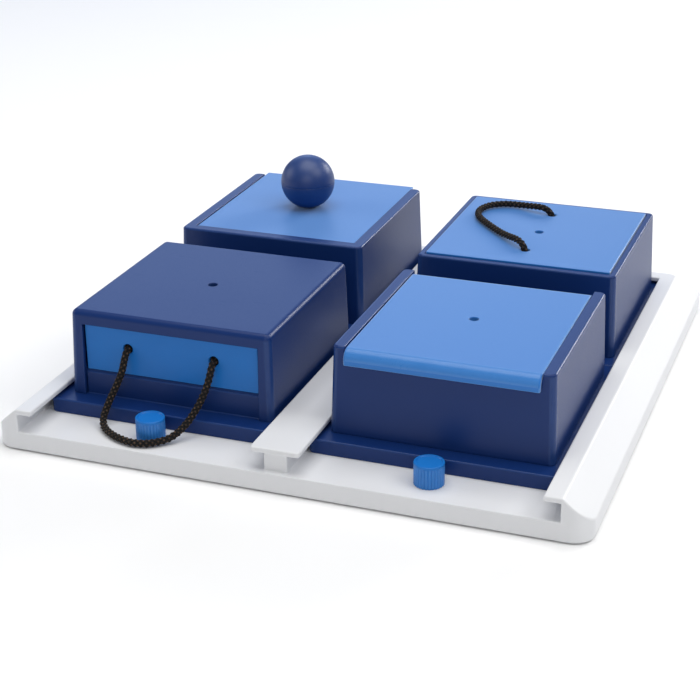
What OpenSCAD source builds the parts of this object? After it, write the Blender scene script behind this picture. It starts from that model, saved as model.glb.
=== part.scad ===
// Dog puzzle feeder: a tray with two lanes holds four treat boxes, each opened in its own way.
// X runs to the right along the front, Y runs to the back, Z is up from the table.

/* [Tray] */
// Width of the tray
tray_w = 310; // [300:1:330]
// Depth of the tray, front to back
tray_d = 310; // [300:1:330]
// Corner radius of the tray in plan
tray_corner_r = 11; // [6:0.5:16]
// Height of the lane floor and of the tray's outer edge
floor_z = 10.7; // [9.5:0.1:13]
// Height of the flat tops of the rails
rail_z = 23; // [22:0.1:26]
// Width of the sloping flank outside each rail
slope_run = 14; // [11:0.5:14.5]
// Distance from the tray's outside to a lane's wall
lane_inset = 14.6; // [14.6:0.1:17]
// Reach of the rails over the lanes
overhang = 8.2; // [7:0.1:9]
// Thickness of the overhanging lips
lip_t = 2.8; // [2:0.1:3]
// Width of the divider's stem
stem_w = 12; // [10:0.5:16]
// Reach of the divider's top plate past its stem
stem_reach = 6.8; // [5.5:0.1:7.5]
// Depth of the bare ledge in front of the boxes
ledge_d = 27.5; // [26.5:0.5:34]
// Thickness of the tray's outer wall
tray_wall = 3; // [2.4:0.1:4]
// Thickness of the tray's deck and of its rails' skin
deck_t = 2.8; // [2:0.1:3.4]
// Number of hollow bays under the deck, each way
bay_count = 3; // [2:1:6]

/* [Feet] */
// Radius of a rubber foot
foot_r = 6; // [4:0.5:7]
// Thickness of a rubber foot
foot_t = 2.3; // [1.8:0.1:3]
// Height that the feet stand out below the tray
foot_proud = 0.8; // [0.5:0.1:1.4]
// Distance from the tray's sides to a foot's centre
foot_inset = 19; // [17:0.5:30]

/* [Boxes] */
// Distance from a flange's left and right to its box's top edge
shoulder_x = 9.4; // [8.5:0.1:12]
// Distance from a flange's front and back to its box's top edge
shoulder_y = 11.15; // [9:0.05:14]
// Outward taper of each box wall from top to bottom
draft = 1.5; // [0:0.1:2]
// Height of a box's flange
flange_h = 7.8; // [6:0.1:8.5]
// Play of a flange across its lane
flange_play = 4.9; // [2:0.1:6]
// Height of the inner plinth above the flange
plinth_h = 13.2; // [12:0.1:18]
// Height of a shell above the flange
shell_h = 46.3; // [42:0.1:60]
// Thickness of the shell walls
shell_wall = 2.8; // [2.2:0.1:3.2]
// Width of the thick rim round a box's top
rim_w = 6.25; // [5.6:0.05:8]
// Height of the thick rim
rim_h = 9; // [8:0.1:12]
// Radius of the boxes' upright edges
box_corner_r = 3.2; // [3:0.1:6]
// Radius of the small hole in each roof and lid
spy_hole_r = 2.5; // [1.5:0.1:4]

/* [Drawer] */
// Width of the posts beside the drawer's opening
post_w = 6.35; // [5.9:0.05:10]
// Height of the band above the drawer
brow_h = 7.5; // [6:0.1:10]
// Thickness of the drawer's front
drawer_front_t = 2.6; // [2:0.1:3.4]
// Thickness of the drawer's sides, back and bottom
drawer_wall = 2.2; // [1.6:0.1:3]
// Gap behind the drawer
drawer_back_gap = 3.35; // [2:0.05:12]
// Spacing of the two rope holes in the drawer's front
drawer_hole_gap = 48.2; // [40:0.1:56]

/* [Lids] */
// Thickness of the lid plates
lid_t = 2.6; // [2:0.1:3.2]
// Radius of the hinge barrel and of its rounded back edge
barrel_r = 3.7; // [3.2:0.1:4.5]
// Radius of the hinge pins
pin_r = 2; // [1.5:0.1:2.4]
// Length of the hinge pins
pin_len = 3.6; // [2.5:0.1:4]
// Reach of the flap's nose in front of its box
nose_reach = 3.2; // [2.8:0.1:5]
// Outer radius of the flap's nose
nose_r = 5.5; // [4.5:0.1:7]
// Height of the flap's nose
nose_h = 8; // [7.5:0.1:12]
// Width of the rim in front of the sliding lid
slide_rim_w = 6.9; // [6:0.1:9]
// Reach of the sliding lid past the back of its box
slide_reach = 5; // [0:0.1:8]
// Depth of the sliding lid's grooves
groove_d = 2.5; // [1.5:0.1:3]
// Height of the sliding lid's grooves
groove_h = 3; // [2.6:0.1:3.4]
// Width of the rebate that holds the lifting lid
rebate_w = 2.7; // [1.5:0.1:3.2]
// Thickness of the lifting lid
lift_lid_t = 2.9; // [2.6:0.1:3.6]
// Height that the lifting lid stands above its rim
lift_proud = 0.8; // [0:0.1:1.5]
// Distance from the box's front and back to a rope hole in the lifting lid
lid_hole_inset = 24.15; // [20:0.05:32]

/* [Ball] */
// Radius of the ball handle
ball_r = 16; // [12:0.1:20]
// Wall thickness of the ball's halves
ball_wall = 2.2; // [1.6:0.1:3]

/* [Stops] */
// Radius of a stop's knob
knob_r = 7.45; // [6:0.05:8]
// Height of a stop's knob above the ledge
knob_h = 11.5; // [9:0.1:14]
// Radius of a stop's spigot
spigot_r = 4; // [3:0.1:5]
// Distance from the tray's front to a stop's centre
knob_setback = 16.6; // [14:0.1:18]
// Number of grooves round a knob
knob_grooves = 28; // [16:1:36]

/* [Rope] */
// Thickness of the handle ropes
rope_t = 3.8; // [3:0.1:4]
// Radius of the rope holes
rope_hole_r = 2.6; // [2.6:0.1:3.2]
// Radius of the knots
knot_r = 4.2; // [3.8:0.1:4.8]

/* [Screws] */
// Radius of a screw's shank
screw_r = 1.4; // [1.2:0.05:1.6]
// Radius of a screw's head
screw_head_r = 2.9; // [2.4:0.1:3.2]
// Height of a screw's head
screw_head_h = 2; // [1.4:0.1:2.2]
// Length of a screw's shank
screw_len = 11; // [8:0.5:12]

/* [Hidden] */

// Facets of true round features, and of the rounded corners inside a hull
round_fn = 64;
corner_fn = 32;
// Overrun of every cut, and thickness of the slices that hulls are made of
over = 1;
slice = 0.1;
// Clearances: at rest above a seat, beside a sliding piece, round a pin, round a screw
seat_gap = 0.15;
side_gap = 0.4;
pin_gap = 0.05;
screw_gap = 0.3;
pilot_gap = 0.05;

// Lanes of the tray
lane_wall_x = tray_w / 2 - lane_inset;
lane_end_y = tray_d / 2 - lane_inset;
lane_w = lane_wall_x - stem_w / 2;
lane_x = (lane_wall_x + stem_w / 2) / 2;
slope_rise = rail_z - floor_z;
lip_z = rail_z - lip_t;
ridge_corner_r = 5;
stem_setback = 2;
stem_front_step = 1.2;
plate_corner_r = 2;
rib_t = 2;
rail_skin = 2.4;
foot_boss_wall = 2;
foot_boss_r = foot_r + foot_boss_wall;
foot_gap = 0.15;
socket_depth = 8.7;
socket_wall = 3;

// Flanges: two in each lane, one behind the other, near the divider and the back
back_play = 1.7;
flange_split = 0.2;
divider_gap = 1.15;
flange_w = lane_w - flange_play;
flange_d = (tray_d - lane_inset - back_play - flange_split - ledge_d) / 2;
flange_corner_r = 3.5;
flange_edge = 0.8;
base_t = 2.6;
box_w = flange_w - 2 * shoulder_x;
box_d = flange_d - 2 * shoulder_y;
box_x = stem_w / 2 + divider_gap + flange_w / 2;
front_box_y = -tray_d / 2 + ledge_d + flange_d / 2;
back_box_y = front_box_y + flange_d + flange_split;

// Heights of the boxes
flange_z = floor_z + flange_h;
plinth_z = flange_z + plinth_h;
shell_z = flange_z + shell_h;
rim_z = shell_z - rim_h;
edge_r = 0.9;
roof_edge_r = 2.4;
edge_steps = 4;

// Insides of the boxes: half sizes of the cavity at its top and of the opening inside the rim
cavity_x = box_w / 2 - shell_wall;
cavity_y = box_d / 2 - shell_wall;
rim_x = box_w / 2 - rim_w;
rim_y = box_d / 2 - rim_w;
plinth_gap = 0.35;
plinth_corner_r = 3;

// Screw bosses in the shells, and the notches that clear them in the plinths
boss_size = 8;
boss_gap = 0.5;
boss_top_gap = 1.2;
boss_setback = 11.5;
boss_x = cavity_x - boss_size / 2;
boss_y = cavity_y - boss_setback;
pilot_len = 10;

// Drawer
panel_proud = 1.2;
drawer_side_gap = 0.7;
drawer_top_gap = 0.5;
drawer_step = 4.6;
drawer_recess = 1.55;
drawer_rope_drop = 11;
drawer_front_y = -box_d / 2 + drawer_recess;
opening_w = box_w - 2 * post_w;
drawer_w = opening_w - 2 * drawer_side_gap;
drawer_back_y = cavity_y - drawer_back_gap;
drawer_z = plinth_z + 2 * seat_gap;
opening_z = shell_z - brow_h;
drawer_rope_z = opening_z - drawer_rope_drop;
guide_h = 3;
guide_t = 2;

// Flap: its plate's top, its hinge axis and its front
flap_drop = 0.5;
barrel_lap = 0.45;
flap_z = shell_z - flap_drop;
flap_x = rim_x - side_gap;
pin_z = flap_z - barrel_r;
pin_y = cavity_y + barrel_lap - barrel_r;
nose_y = -box_d / 2 - nose_reach;
nose_t = 2.4;
flap_rib_h = 3.6;
flap_rib_t = 1.8;
flap_rib_inset = 3;

// Sliding lid
slide_drop = 0.6;
groove_lap = 0.3;
slide_z = shell_z - slide_drop;
groove_z = slide_z - lid_t + groove_lap - groove_h;
slide_front_y = -box_d / 2 + slide_rim_w;
slide_back_y = box_d / 2 + slide_reach;
tongue_w = 5;

// Lifting lid
rebate_x = rim_x + rebate_w;
rebate_y = rim_y + rebate_w;
lift_z = shell_z + lift_proud;
lift_seat_z = lift_z - lift_lid_t;
lid_hole_y = box_d / 2 - lid_hole_inset;
skirt_h = 4.3;
skirt_t = 2.2;

// Ball and its screw
ball_y = (slide_front_y + slide_back_y) / 2;
ball_flat = 0.5;
ball_z = slide_z + ball_r - ball_flat;
ball_lip_h = 2;
ball_lip_t = 1;
ball_boss_r = 3.6;
ball_boss_h = 12;
ball_pilot_len = 10.5;
ball_screw_bite = 9;

// Stops
knob_y = -tray_d / 2 + knob_setback;
knob_rim_h = 1.3;
knob_dish = 0.5;
knob_groove_r = 0.4;
groove_fn = 6;
knob_edge = 0.5;
spigot_len = 8;

// Knots: how far the flat face lies from a knot's centre
knot_flat = 2.4;

// Handle ropes: routes of their centre lines, from one knot's face to the other's. The drawer's
// starts from the middle of its front's inner face, at the height of the ledge, and the lid's from
// the middle of the lid's underside. Each is stretched to fit its holes from the reach given here.
rope_sides = 8;
drawer_route_gap = 48.2;
drawer_route_rise = 35.6;
lid_route_reach = 31.2;
drawer_rope_route = [
    [-24.1, 0, 35.6], [-24.1, -2.6, 35.2], [-24.1, -5.3, 33.6], [-24.2, -7, 31.1],
    [-24.6, -9.6, 25.9], [-26.3, -12.3, 19.9], [-28.3, -15.4, 14.1], [-29.7, -18.8, 8.9],
    [-29.9, -22.4, 4.9], [-27.7, -26.6, 2.6], [-23.5, -30.6, 2.2], [-18.1, -34.2, 2.2],
    [-12.1, -36.8, 2.2], [-5.6, -38.2, 2.2], [0.9, -37.1, 2.2], [6.5, -33.8, 2.5],
    [10.9, -29.4, 3.3], [14.1, -24.4, 5.5], [17.1, -19.6, 9.5], [19.9, -15.8, 14.9],
    [22.1, -12.5, 20.5], [23.5, -9.6, 26.1], [24.1, -7, 31.1], [24.1, -5.3, 33.6],
    [24.1, -2.6, 35.2], [24.1, 0, 35.6]
];
lid_rope_route = [
    [0, -31.2, 0], [-0.4, -31, 2.8], [-1.8, -30, 5.1], [-4.5, -27.8, 6.5], [-8.3, -24.3, 6.5],
    [-13.1, -19.5, 5.7], [-18.5, -14.1, 5.2], [-24, -8.2, 5.1], [-29.5, -2, 5.1], [-34.7, 4.2, 5.1],
    [-38.8, 10.8, 5.1], [-40.8, 17.8, 5.1], [-40.4, 24.6, 5.1], [-37.6, 30.5, 5.1],
    [-32.7, 34.7, 5.1], [-26.7, 36.8, 5.1], [-20.3, 36.5, 5.3], [-14.3, 34.6, 5.9],
    [-9.1, 32.7, 6.6], [-5, 31.6, 6.5], [-2.1, 31.3, 5.1], [-0.4, 31.2, 2.8], [0, 31.2, 0]
];

// Colours
tray_colour = "gainsboro";
navy_colour = "midnightblue";
blue_colour = "steelblue";
rope_colour = "black";
rubber_colour = "dimgray";
steel_colour = "silver";

// Outline of a rectangle with rounded corners, centred
module rounded_rect(w, d, r, fn = round_fn) {
    square([w - 2 * r, d], center = true);
    square([w, d - 2 * r], center = true);
    for (sx = [-1, 1], sy = [-1, 1])
        translate([sx * (w / 2 - r), sy * (d / 2 - r)]) circle(r, $fn = fn);
}

// Box given by its low and high corners
module block(low, high) {
    translate(low) cube(high - low);
}

// Copies for both sides of the YZ plane
module both_sides() {
    children();
    mirror([1, 0, 0]) children();
}

// Place of a box: column is -1 or 1, row is 0 in front and 1 behind
module at_box(column, row) {
    translate([column * box_x, row == 0 ? front_box_y : back_box_y, 0]) children();
}

// Half width or depth, at height z, of a shell whose top measures size
function shell_half(size, z) = size / 2 + draft * (shell_z - z) / shell_h;

// Height of a rail's flank at the distance x from the tray's outside
function flank_z(x) = floor_z + slope_rise * x / slope_run;

// Unit vector
function unit(v) = v / norm(v);

// Direction of a route at point i, with the given directions at its two ends
function route_dir(p, i, first, last) =
    i == 0 ? first : i == len(p) - 1 ? last : unit(unit(p[i + 1] - p[i]) + unit(p[i] - p[i - 1]));

// Side vectors along a route, carried from point to point without twist
function route_sides(p, first, last, side, i = 0) =
    i == len(p) ? [] :
    let (t = route_dir(p, i, first, last), s = unit(side - (side * t) * t))
    concat([s], route_sides(p, first, last, s, i + 1));

// Rope along a route
module rope(route, first, last, side) {
    sides = route_sides(route, first, last, side);
    points = [
        for (i = [0:len(route) - 1], k = [0:rope_sides - 1])
            let (t = route_dir(route, i, first, last), s = sides[i], a = 360 * k / rope_sides)
            route[i] + rope_t / 2 * (s * cos(a) + cross(t, s) * sin(a))
    ];
    tube_faces = [
        for (i = [0:len(route) - 2], k = [0:rope_sides - 1], half = [0, 1])
            let (a = i * rope_sides + k, b = i * rope_sides + (k + 1) % rope_sides)
            half == 0 ? [a, a + rope_sides, b] : [b, a + rope_sides, b + rope_sides]
    ];
    ends = [
        [for (k = [0:rope_sides - 1]) k],
        [for (k = [rope_sides - 1:-1:0]) (len(route) - 1) * rope_sides + k]
    ];
    polyhedron(points, concat(tube_faces, ends));
}

// Route moved to an origin and stretched along each axis
function laid(route, origin, stretch) =
    [for (p = route) origin + [p[0] * stretch[0], p[1] * stretch[1], p[2] * stretch[2]]];

// Knot behind a hole: a ball with a flat face at the origin, turned towards +Z
module knot() {
    difference() {
        translate([0, 0, -knot_flat]) sphere(knot_r, $fn = round_fn);
        block([-knot_r - over, -knot_r - over, 0], [knot_r + over, knot_r + over, knot_r]);
    }
}

// Pan-head screw, pointing up, with the underside of its head at the origin
module screw(len) {
    slot_w = screw_r / 2;
    slot_l = screw_head_r;
    difference() {
        union() {
            cylinder(h = len, r = screw_r, $fn = round_fn);
            translate([0, 0, -screw_head_h]) cylinder(h = screw_head_h, r = screw_head_r, $fn = round_fn);
        }
        for (turn = [0, 90]) rotate(turn)
            block([-slot_l / 2, -slot_w / 2, -screw_head_h - over],
                  [slot_l / 2, slot_w / 2, -screw_head_h / 2]);
    }
}

// Solid of the tray before its lanes are cut: a plate with rails that slope up on three sides
module tray_outside() {
    ridge_w = tray_w - 2 * slope_run;
    ridge_d = tray_d - slope_run;
    translate([0, 0, foot_proud])
        linear_extrude(floor_z - foot_proud) rounded_rect(tray_w, tray_d, tray_corner_r);
    intersection() {
        linear_extrude(rail_z) rounded_rect(tray_w, tray_d, tray_corner_r);
        hull() {
            translate([0, -tray_corner_r, floor_z]) linear_extrude(slice)
                rounded_rect(tray_w, tray_d + 2 * tray_corner_r, tray_corner_r, corner_fn);
            translate([0, -slope_run / 2 - ridge_corner_r, rail_z - slice]) linear_extrude(slice)
                rounded_rect(ridge_w, ridge_d + 2 * ridge_corner_r, ridge_corner_r, corner_fn);
        }
    }
}

// Space of the right lane: wide below the lips, narrower between them
module lane_space() {
    front = -tray_d / 2 - over;
    block([stem_w / 2, front, floor_z], [lane_wall_x, lane_end_y, lip_z]);
    block([stem_w / 2 + stem_reach, front, floor_z],
          [lane_wall_x - overhang, lane_end_y - overhang, rail_z + over]);
}

// What is cut away in front of the divider
module divider_front() {
    reach = stem_w / 2 + stem_reach;
    plate_front = -tray_d / 2 + stem_setback;
    difference() {
        block([-reach - over, -tray_d / 2 - over, floor_z],
              [reach + over, plate_front + plate_corner_r, rail_z + over]);
        translate([0, plate_front + reach, lip_z])
            linear_extrude(lip_t + 2 * over) rounded_rect(2 * reach, 2 * reach, plate_corner_r);
        translate([0, plate_front + stem_front_step + stem_w / 2, floor_z - over])
            linear_extrude(rail_z) square(stem_w, center = true);
    }
}

// Hollow inside a rail, along Y, with the tray's outside at x = 0 and the lane on the +X side
module rail_hollow(length) {
    far = lane_inset - rail_skin;
    rotate([90, 0, 0]) translate([0, 0, -length / 2]) linear_extrude(length)
        polygon([
            [tray_wall, foot_proud - over],
            [far, foot_proud - over],
            [far, min(flank_z(far), rail_z) - deck_t],
            [tray_wall, flank_z(tray_wall) - deck_t]
        ]);
}

// All that is hollow below the deck: bays between ribs, the rails and the divider's stem
module tray_hollows() {
    inner_w = tray_w - 2 * tray_wall;
    inner_d = tray_d - 2 * tray_wall;
    bay_w = (inner_w - (bay_count - 1) * rib_t) / bay_count;
    bay_d = (inner_d - (bay_count - 1) * rib_t) / bay_count;
    intersection() {
        translate([0, 0, foot_proud - over]) linear_extrude(floor_z)
            rounded_rect(inner_w, inner_d, tray_corner_r - tray_wall);
        for (i = [0:bay_count - 1], j = [0:bay_count - 1])
            translate([-inner_w / 2 + i * (bay_w + rib_t), -inner_d / 2 + j * (bay_d + rib_t), -over])
                cube([bay_w, bay_d, floor_z - deck_t + over]);
    }
    rail_len = tray_d - 2 * (lane_inset + tray_corner_r);
    both_sides() translate([-tray_w / 2, 0, 0]) rail_hollow(rail_len);
    translate([0, tray_d / 2, 0]) rotate(-90) rail_hollow(tray_w - 2 * (lane_inset + tray_corner_r));
    stem_half = stem_w / 2 - rail_skin;
    block([-stem_half, -tray_d / 2 + tray_corner_r, foot_proud - over],
          [stem_half, lane_end_y - rail_skin, rail_z - deck_t]);
}

module tray() {
    foot_x = tray_w / 2 - foot_inset;
    foot_y = tray_d / 2 - foot_inset;
    color(tray_colour) difference() {
        union() {
            difference() {
                tray_outside();
                both_sides() lane_space();
                divider_front();
                tray_hollows();
            }
            for (sx = [-1, 1], sy = [-1, 1]) translate([sx * foot_x, sy * foot_y, foot_proud])
                cylinder(h = floor_z - foot_proud - deck_t / 2, r = foot_boss_r, $fn = round_fn);
            both_sides() translate([lane_x, knob_y, floor_z - socket_depth])
                cylinder(h = socket_depth - deck_t / 2, r = spigot_r + socket_wall, $fn = round_fn);
        }
        for (sx = [-1, 1], sy = [-1, 1]) translate([sx * foot_x, sy * foot_y, -over])
            cylinder(h = foot_t + over, r = foot_r + foot_gap, $fn = round_fn);
        both_sides() translate([lane_x, knob_y, foot_proud])
            cylinder(h = floor_z, r = spigot_r + pin_gap, $fn = round_fn);
    }
}

module rubber_feet() {
    color(rubber_colour) for (sx = [-1, 1], sy = [-1, 1])
        translate([sx * (tray_w / 2 - foot_inset), sy * (tray_d / 2 - foot_inset), 0])
            cylinder(h = foot_t, r = foot_r, $fn = round_fn);
}

// Places of a box's four screws
module at_screws() {
    for (sx = [-1, 1], sy = [-1, 1]) translate([sx * boss_x, sy * boss_y, 0]) children();
}

// Base of a box, at the origin: a hollow flange that runs in the lane and a plinth inside the shell
module box_base() {
    plinth_x = shell_half(box_w, plinth_z) - shell_wall - plinth_gap;
    plinth_y = shell_half(box_d, plinth_z) - shell_wall - plinth_gap;
    notch = boss_size / 2 + boss_gap;
    under_z = flange_z - base_t;
    color(navy_colour) difference() {
        union() {
            translate([0, 0, floor_z]) linear_extrude(flange_h - flange_edge)
                rounded_rect(flange_w, flange_d, flange_corner_r);
            translate([0, 0, flange_z - flange_edge]) linear_extrude(flange_edge)
                rounded_rect(flange_w - flange_edge, flange_d - flange_edge, flange_corner_r);
            translate([0, 0, flange_z]) linear_extrude(plinth_h)
                rounded_rect(2 * plinth_x, 2 * plinth_y, plinth_corner_r);
            children();
        }
        translate([0, 0, floor_z - over]) linear_extrude(flange_h - base_t + over)
            rounded_rect(flange_w - 2 * base_t, flange_d - 2 * base_t, flange_corner_r - base_t / 2);
        difference() {
            translate([0, 0, under_z - over]) linear_extrude(plinth_h + over)
                rounded_rect(2 * (plinth_x - base_t), 2 * (plinth_y - base_t), plinth_corner_r - base_t / 2);
            at_screws() block([-notch - base_t, -notch - base_t, under_z],
                              [notch + base_t, notch + base_t, plinth_z]);
        }
        at_screws() {
            block([-notch, -notch, flange_z], [notch, notch, plinth_z + over]);
            translate([0, 0, under_z - over])
                cylinder(h = base_t + 2 * over, r = screw_r + screw_gap, $fn = round_fn);
        }
        for (sx = [-1, 1], sy = [-1, 1])
            block([sx > 0 ? boss_x : -plinth_x - over, sy * boss_y - notch, flange_z],
                  [sx > 0 ? plinth_x + over : -boss_x, sy * boss_y + notch, plinth_z + over]);
    }
}

// Front panel below the drawer and the two guides beside it
module drawer_fittings() {
    panel_x = opening_w / 2 - side_gap;
    back = -(shell_half(box_d, plinth_z) - shell_wall - plinth_gap);
    front = back - panel_proud;
    round_r = panel_proud;
    difference() {
        block([-panel_x, front, flange_z], [panel_x, back + over, plinth_z]);
        rotate([90, 0, 90]) translate([front, plinth_z, -panel_x - over])
            linear_extrude(2 * (panel_x + over)) difference() {
                translate([-over, -round_r]) square([round_r + over, round_r + over]);
                translate([round_r, -round_r]) circle(round_r, $fn = round_fn);
            }
    }
    both_sides() block([drawer_w / 2 + side_gap, -rim_y, plinth_z - over],
                       [drawer_w / 2 + side_gap + guide_t, rim_y, plinth_z + guide_h]);
}

// Outside of a shell, with tapered walls and the given radius round its top
module shell_outside(top_r) {
    hull() {
        translate([0, 0, flange_z]) linear_extrude(slice)
            rounded_rect(box_w + 2 * draft, box_d + 2 * draft, box_corner_r, corner_fn);
        for (i = [0:edge_steps])
            let (a = 90 * i / edge_steps, inset = top_r * (1 - cos(a)))
            translate([0, 0, shell_z - top_r * (1 - sin(a)) - slice]) linear_extrude(slice)
                rounded_rect(box_w - 2 * inset, box_d - 2 * inset, box_corner_r - inset, corner_fn);
    }
}

// Cavity of a shell up to height top, with walls that follow the outside
module shell_cavity(top) {
    r = box_corner_r - shell_wall / 2;
    low = flange_z - over;
    hull() for (z = [low, top - slice]) translate([0, 0, z]) linear_extrude(slice)
        rounded_rect(2 * (shell_half(box_w, z) - shell_wall), 2 * (shell_half(box_d, z) - shell_wall),
                     r, corner_fn);
}

// Shell with its cavity and screw bosses, less whatever the children cut away
module box_shell(top_r, cavity_top) {
    color(navy_colour) difference() {
        union() {
            difference() {
                shell_outside(top_r);
                shell_cavity(cavity_top);
            }
            for (sx = [-1, 1], sy = [-1, 1])
                block([sx > 0 ? boss_x - boss_size / 2 : -cavity_x - shell_wall / 2,
                       sy * boss_y - boss_size / 2, flange_z],
                      [sx > 0 ? cavity_x + shell_wall / 2 : -boss_x + boss_size / 2,
                       sy * boss_y + boss_size / 2, plinth_z - boss_top_gap]);
        }
        at_screws() translate([0, 0, flange_z - over])
            cylinder(h = pilot_len + over, r = screw_r + pilot_gap, $fn = round_fn);
        children();
    }
}

// Screws that hold a shell on its base
module box_screws() {
    color(steel_colour) at_screws() translate([0, 0, flange_z - base_t]) screw(screw_len);
}

module drawer_box_base() {
    at_box(-1, 0) box_base() drawer_fittings();
}

module drawer_box_shell() {
    front = -box_d / 2 - draft - over;
    at_box(-1, 0) box_shell(roof_edge_r, shell_z - shell_wall) {
        block([-opening_w / 2, front, flange_z - over], [opening_w / 2, -rim_y, opening_z]);
        translate([0, 0, rim_z]) cylinder(h = rim_h + over, r = spy_hole_r, $fn = round_fn);
    }
}

module drawer_box_screws() {
    at_box(-1, 0) box_screws();
}

module drawer() {
    inner_x = drawer_w / 2 - drawer_wall;
    inner_front = drawer_front_y + drawer_front_t;
    top = opening_z - drawer_top_gap;
    color(blue_colour) at_box(-1, 0) difference() {
        block([-drawer_w / 2, drawer_front_y, drawer_z], [drawer_w / 2, drawer_back_y, top]);
        block([-inner_x, inner_front, drawer_z + drawer_wall],
              [inner_x, drawer_back_y - drawer_wall, top + over]);
        block([-drawer_w / 2 - over, inner_front, top - drawer_step],
              [drawer_w / 2 + over, drawer_back_y + over, top + over]);
        for (s = [-1, 1]) translate([s * drawer_hole_gap / 2, inner_front + over, drawer_rope_z])
            rotate([90, 0, 0]) cylinder(h = drawer_front_t + 2 * over, r = rope_hole_r, $fn = round_fn);
    }
}

module drawer_rope() {
    origin = [-box_x, front_box_y + drawer_front_y + drawer_front_t, floor_z];
    stretch = [drawer_hole_gap / drawer_route_gap, 1, (drawer_rope_z - floor_z) / drawer_route_rise];
    color(rope_colour) rope(laid(drawer_rope_route, origin, stretch), [0, -1, 0], [0, 1, 0], [1, 0, 0]);
}

module drawer_rope_knots() {
    color(rope_colour) at_box(-1, 0)
        for (s = [-1, 1])
            translate([s * drawer_hole_gap / 2, drawer_front_y + drawer_front_t, drawer_rope_z])
                rotate([90, 0, 0]) knot();
}

module flap_box_base() {
    at_box(1, 0) box_base();
}

module flap_box_shell() {
    barrel_floor_z = pin_z - barrel_r - side_gap;
    at_box(1, 0) box_shell(edge_r, rim_z) {
        block([-rim_x, -cavity_y, rim_z - over], [rim_x, cavity_y, shell_z + over]);
        block([-rim_x, -box_d / 2 - draft - over, flap_z - lid_t - seat_gap], [rim_x, 0, shell_z + over]);
        block([-rim_x, 0, barrel_floor_z], [rim_x, box_d / 2 + draft + over, shell_z + over]);
        for (s = [-1, 1]) translate([s * rim_x, pin_y, pin_z]) rotate([0, 90, 0])
            cylinder(h = 2 * (pin_len + pin_gap), r = pin_r + pin_gap, center = true, $fn = round_fn);
    }
}

module flap_box_screws() {
    at_box(1, 0) box_screws();
}

// Side view of the flap: X runs to the back and Y is up
module flap_profile() {
    bend = [nose_y + nose_r, flap_z - nose_r];
    translate([bend[0], flap_z - lid_t]) square([pin_y - bend[0], lid_t]);
    difference() {
        intersection() {
            translate(bend) circle(nose_r, $fn = round_fn);
            translate([nose_y - over, bend[1]]) square([nose_r + over, nose_r + over]);
        }
        translate([nose_y + nose_t, flap_z - lid_t - nose_r]) square([nose_r, nose_r]);
    }
    translate([nose_y, flap_z - nose_h]) square([nose_t, nose_h - nose_r]);
    translate([pin_y, pin_z]) circle(barrel_r, $fn = round_fn);
}

module flap_lid() {
    rib_x = flap_x - flap_rib_inset;
    rib_front = -cavity_y + flap_rib_inset;
    color(blue_colour) at_box(1, 0) difference() {
        union() {
            rotate([90, 0, 90]) translate([0, 0, -flap_x]) linear_extrude(2 * flap_x) flap_profile();
            translate([-flap_x - pin_len + side_gap, pin_y, pin_z]) rotate([0, 90, 0])
                cylinder(h = 2 * (flap_x + pin_len - side_gap), r = pin_r, $fn = round_fn);
            for (s = [-1, 1]) translate([s * rib_x, 0, 0])
                block([-flap_rib_t / 2, rib_front, flap_z - lid_t - flap_rib_h],
                      [flap_rib_t / 2, pin_y, flap_z - lid_t / 2]);
        }
        translate([0, 0, flap_z - lid_t - over])
            cylinder(h = lid_t + 2 * over, r = spy_hole_r, $fn = round_fn);
    }
}

module slide_box_base() {
    at_box(-1, 1) box_base();
}

module slide_box_shell() {
    back = box_d / 2 + draft + over;
    groove_x = rim_x + groove_d;
    at_box(-1, 1) box_shell(edge_r, rim_z) {
        block([-rim_x, slide_front_y, rim_z - over], [rim_x, cavity_y, shell_z + over]);
        block([-rim_x, 0, groove_z], [rim_x, back, shell_z + over]);
        block([-groove_x, slide_front_y, groove_z], [groove_x, back, groove_z + groove_h]);
    }
}

module slide_box_screws() {
    at_box(-1, 1) box_screws();
}

module slide_lid() {
    front = slide_front_y + side_gap / 2;
    tongue_x = rim_x + groove_d - side_gap;
    under = slide_z - lid_t;
    color(blue_colour) at_box(-1, 1) difference() {
        union() {
            block([-rim_x + side_gap, front, under], [rim_x - side_gap, slide_back_y, slide_z]);
            both_sides() block([tongue_x - tongue_w, front, groove_z + seat_gap],
                               [tongue_x, slide_back_y, groove_z + groove_h - seat_gap]);
        }
        translate([0, ball_y, under - over])
            cylinder(h = lid_t + 2 * over, r = screw_r + screw_gap, $fn = round_fn);
    }
}

// Hollow half of the ball below its equator, standing on a small flat
module ball_lower() {
    color(navy_colour) at_box(-1, 1) translate([0, ball_y, ball_z]) difference() {
        union() {
            difference() {
                sphere(ball_r, $fn = round_fn);
                sphere(ball_r - ball_wall, $fn = round_fn);
                block([-ball_r, -ball_r, 0], [ball_r, ball_r, ball_r]);
            }
            translate([0, 0, -ball_r + ball_flat])
                cylinder(h = ball_boss_h, r = ball_boss_r, $fn = round_fn);
        }
        block([-ball_r, -ball_r, -ball_r - over], [ball_r, ball_r, -ball_r + ball_flat]);
        translate([0, 0, -ball_r + ball_flat - over])
            cylinder(h = ball_pilot_len + over, r = screw_r + pilot_gap, $fn = round_fn);
    }
}

// Hollow half of the ball above its equator, with a lip that centres it in the lower half
module ball_upper() {
    lip_r = ball_r - ball_wall - side_gap;
    color(navy_colour) at_box(-1, 1) translate([0, ball_y, ball_z]) {
        difference() {
            sphere(ball_r, $fn = round_fn);
            sphere(ball_r - ball_wall - side_gap - ball_lip_t, $fn = round_fn);
            block([-ball_r, -ball_r, -ball_r], [ball_r, ball_r, 0]);
        }
        translate([0, 0, -ball_lip_h]) difference() {
            cylinder(h = 2 * ball_lip_h, r = lip_r, $fn = round_fn);
            translate([0, 0, -over])
                cylinder(h = 2 * (ball_lip_h + over), r = lip_r - ball_lip_t, $fn = round_fn);
        }
    }
}

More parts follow.
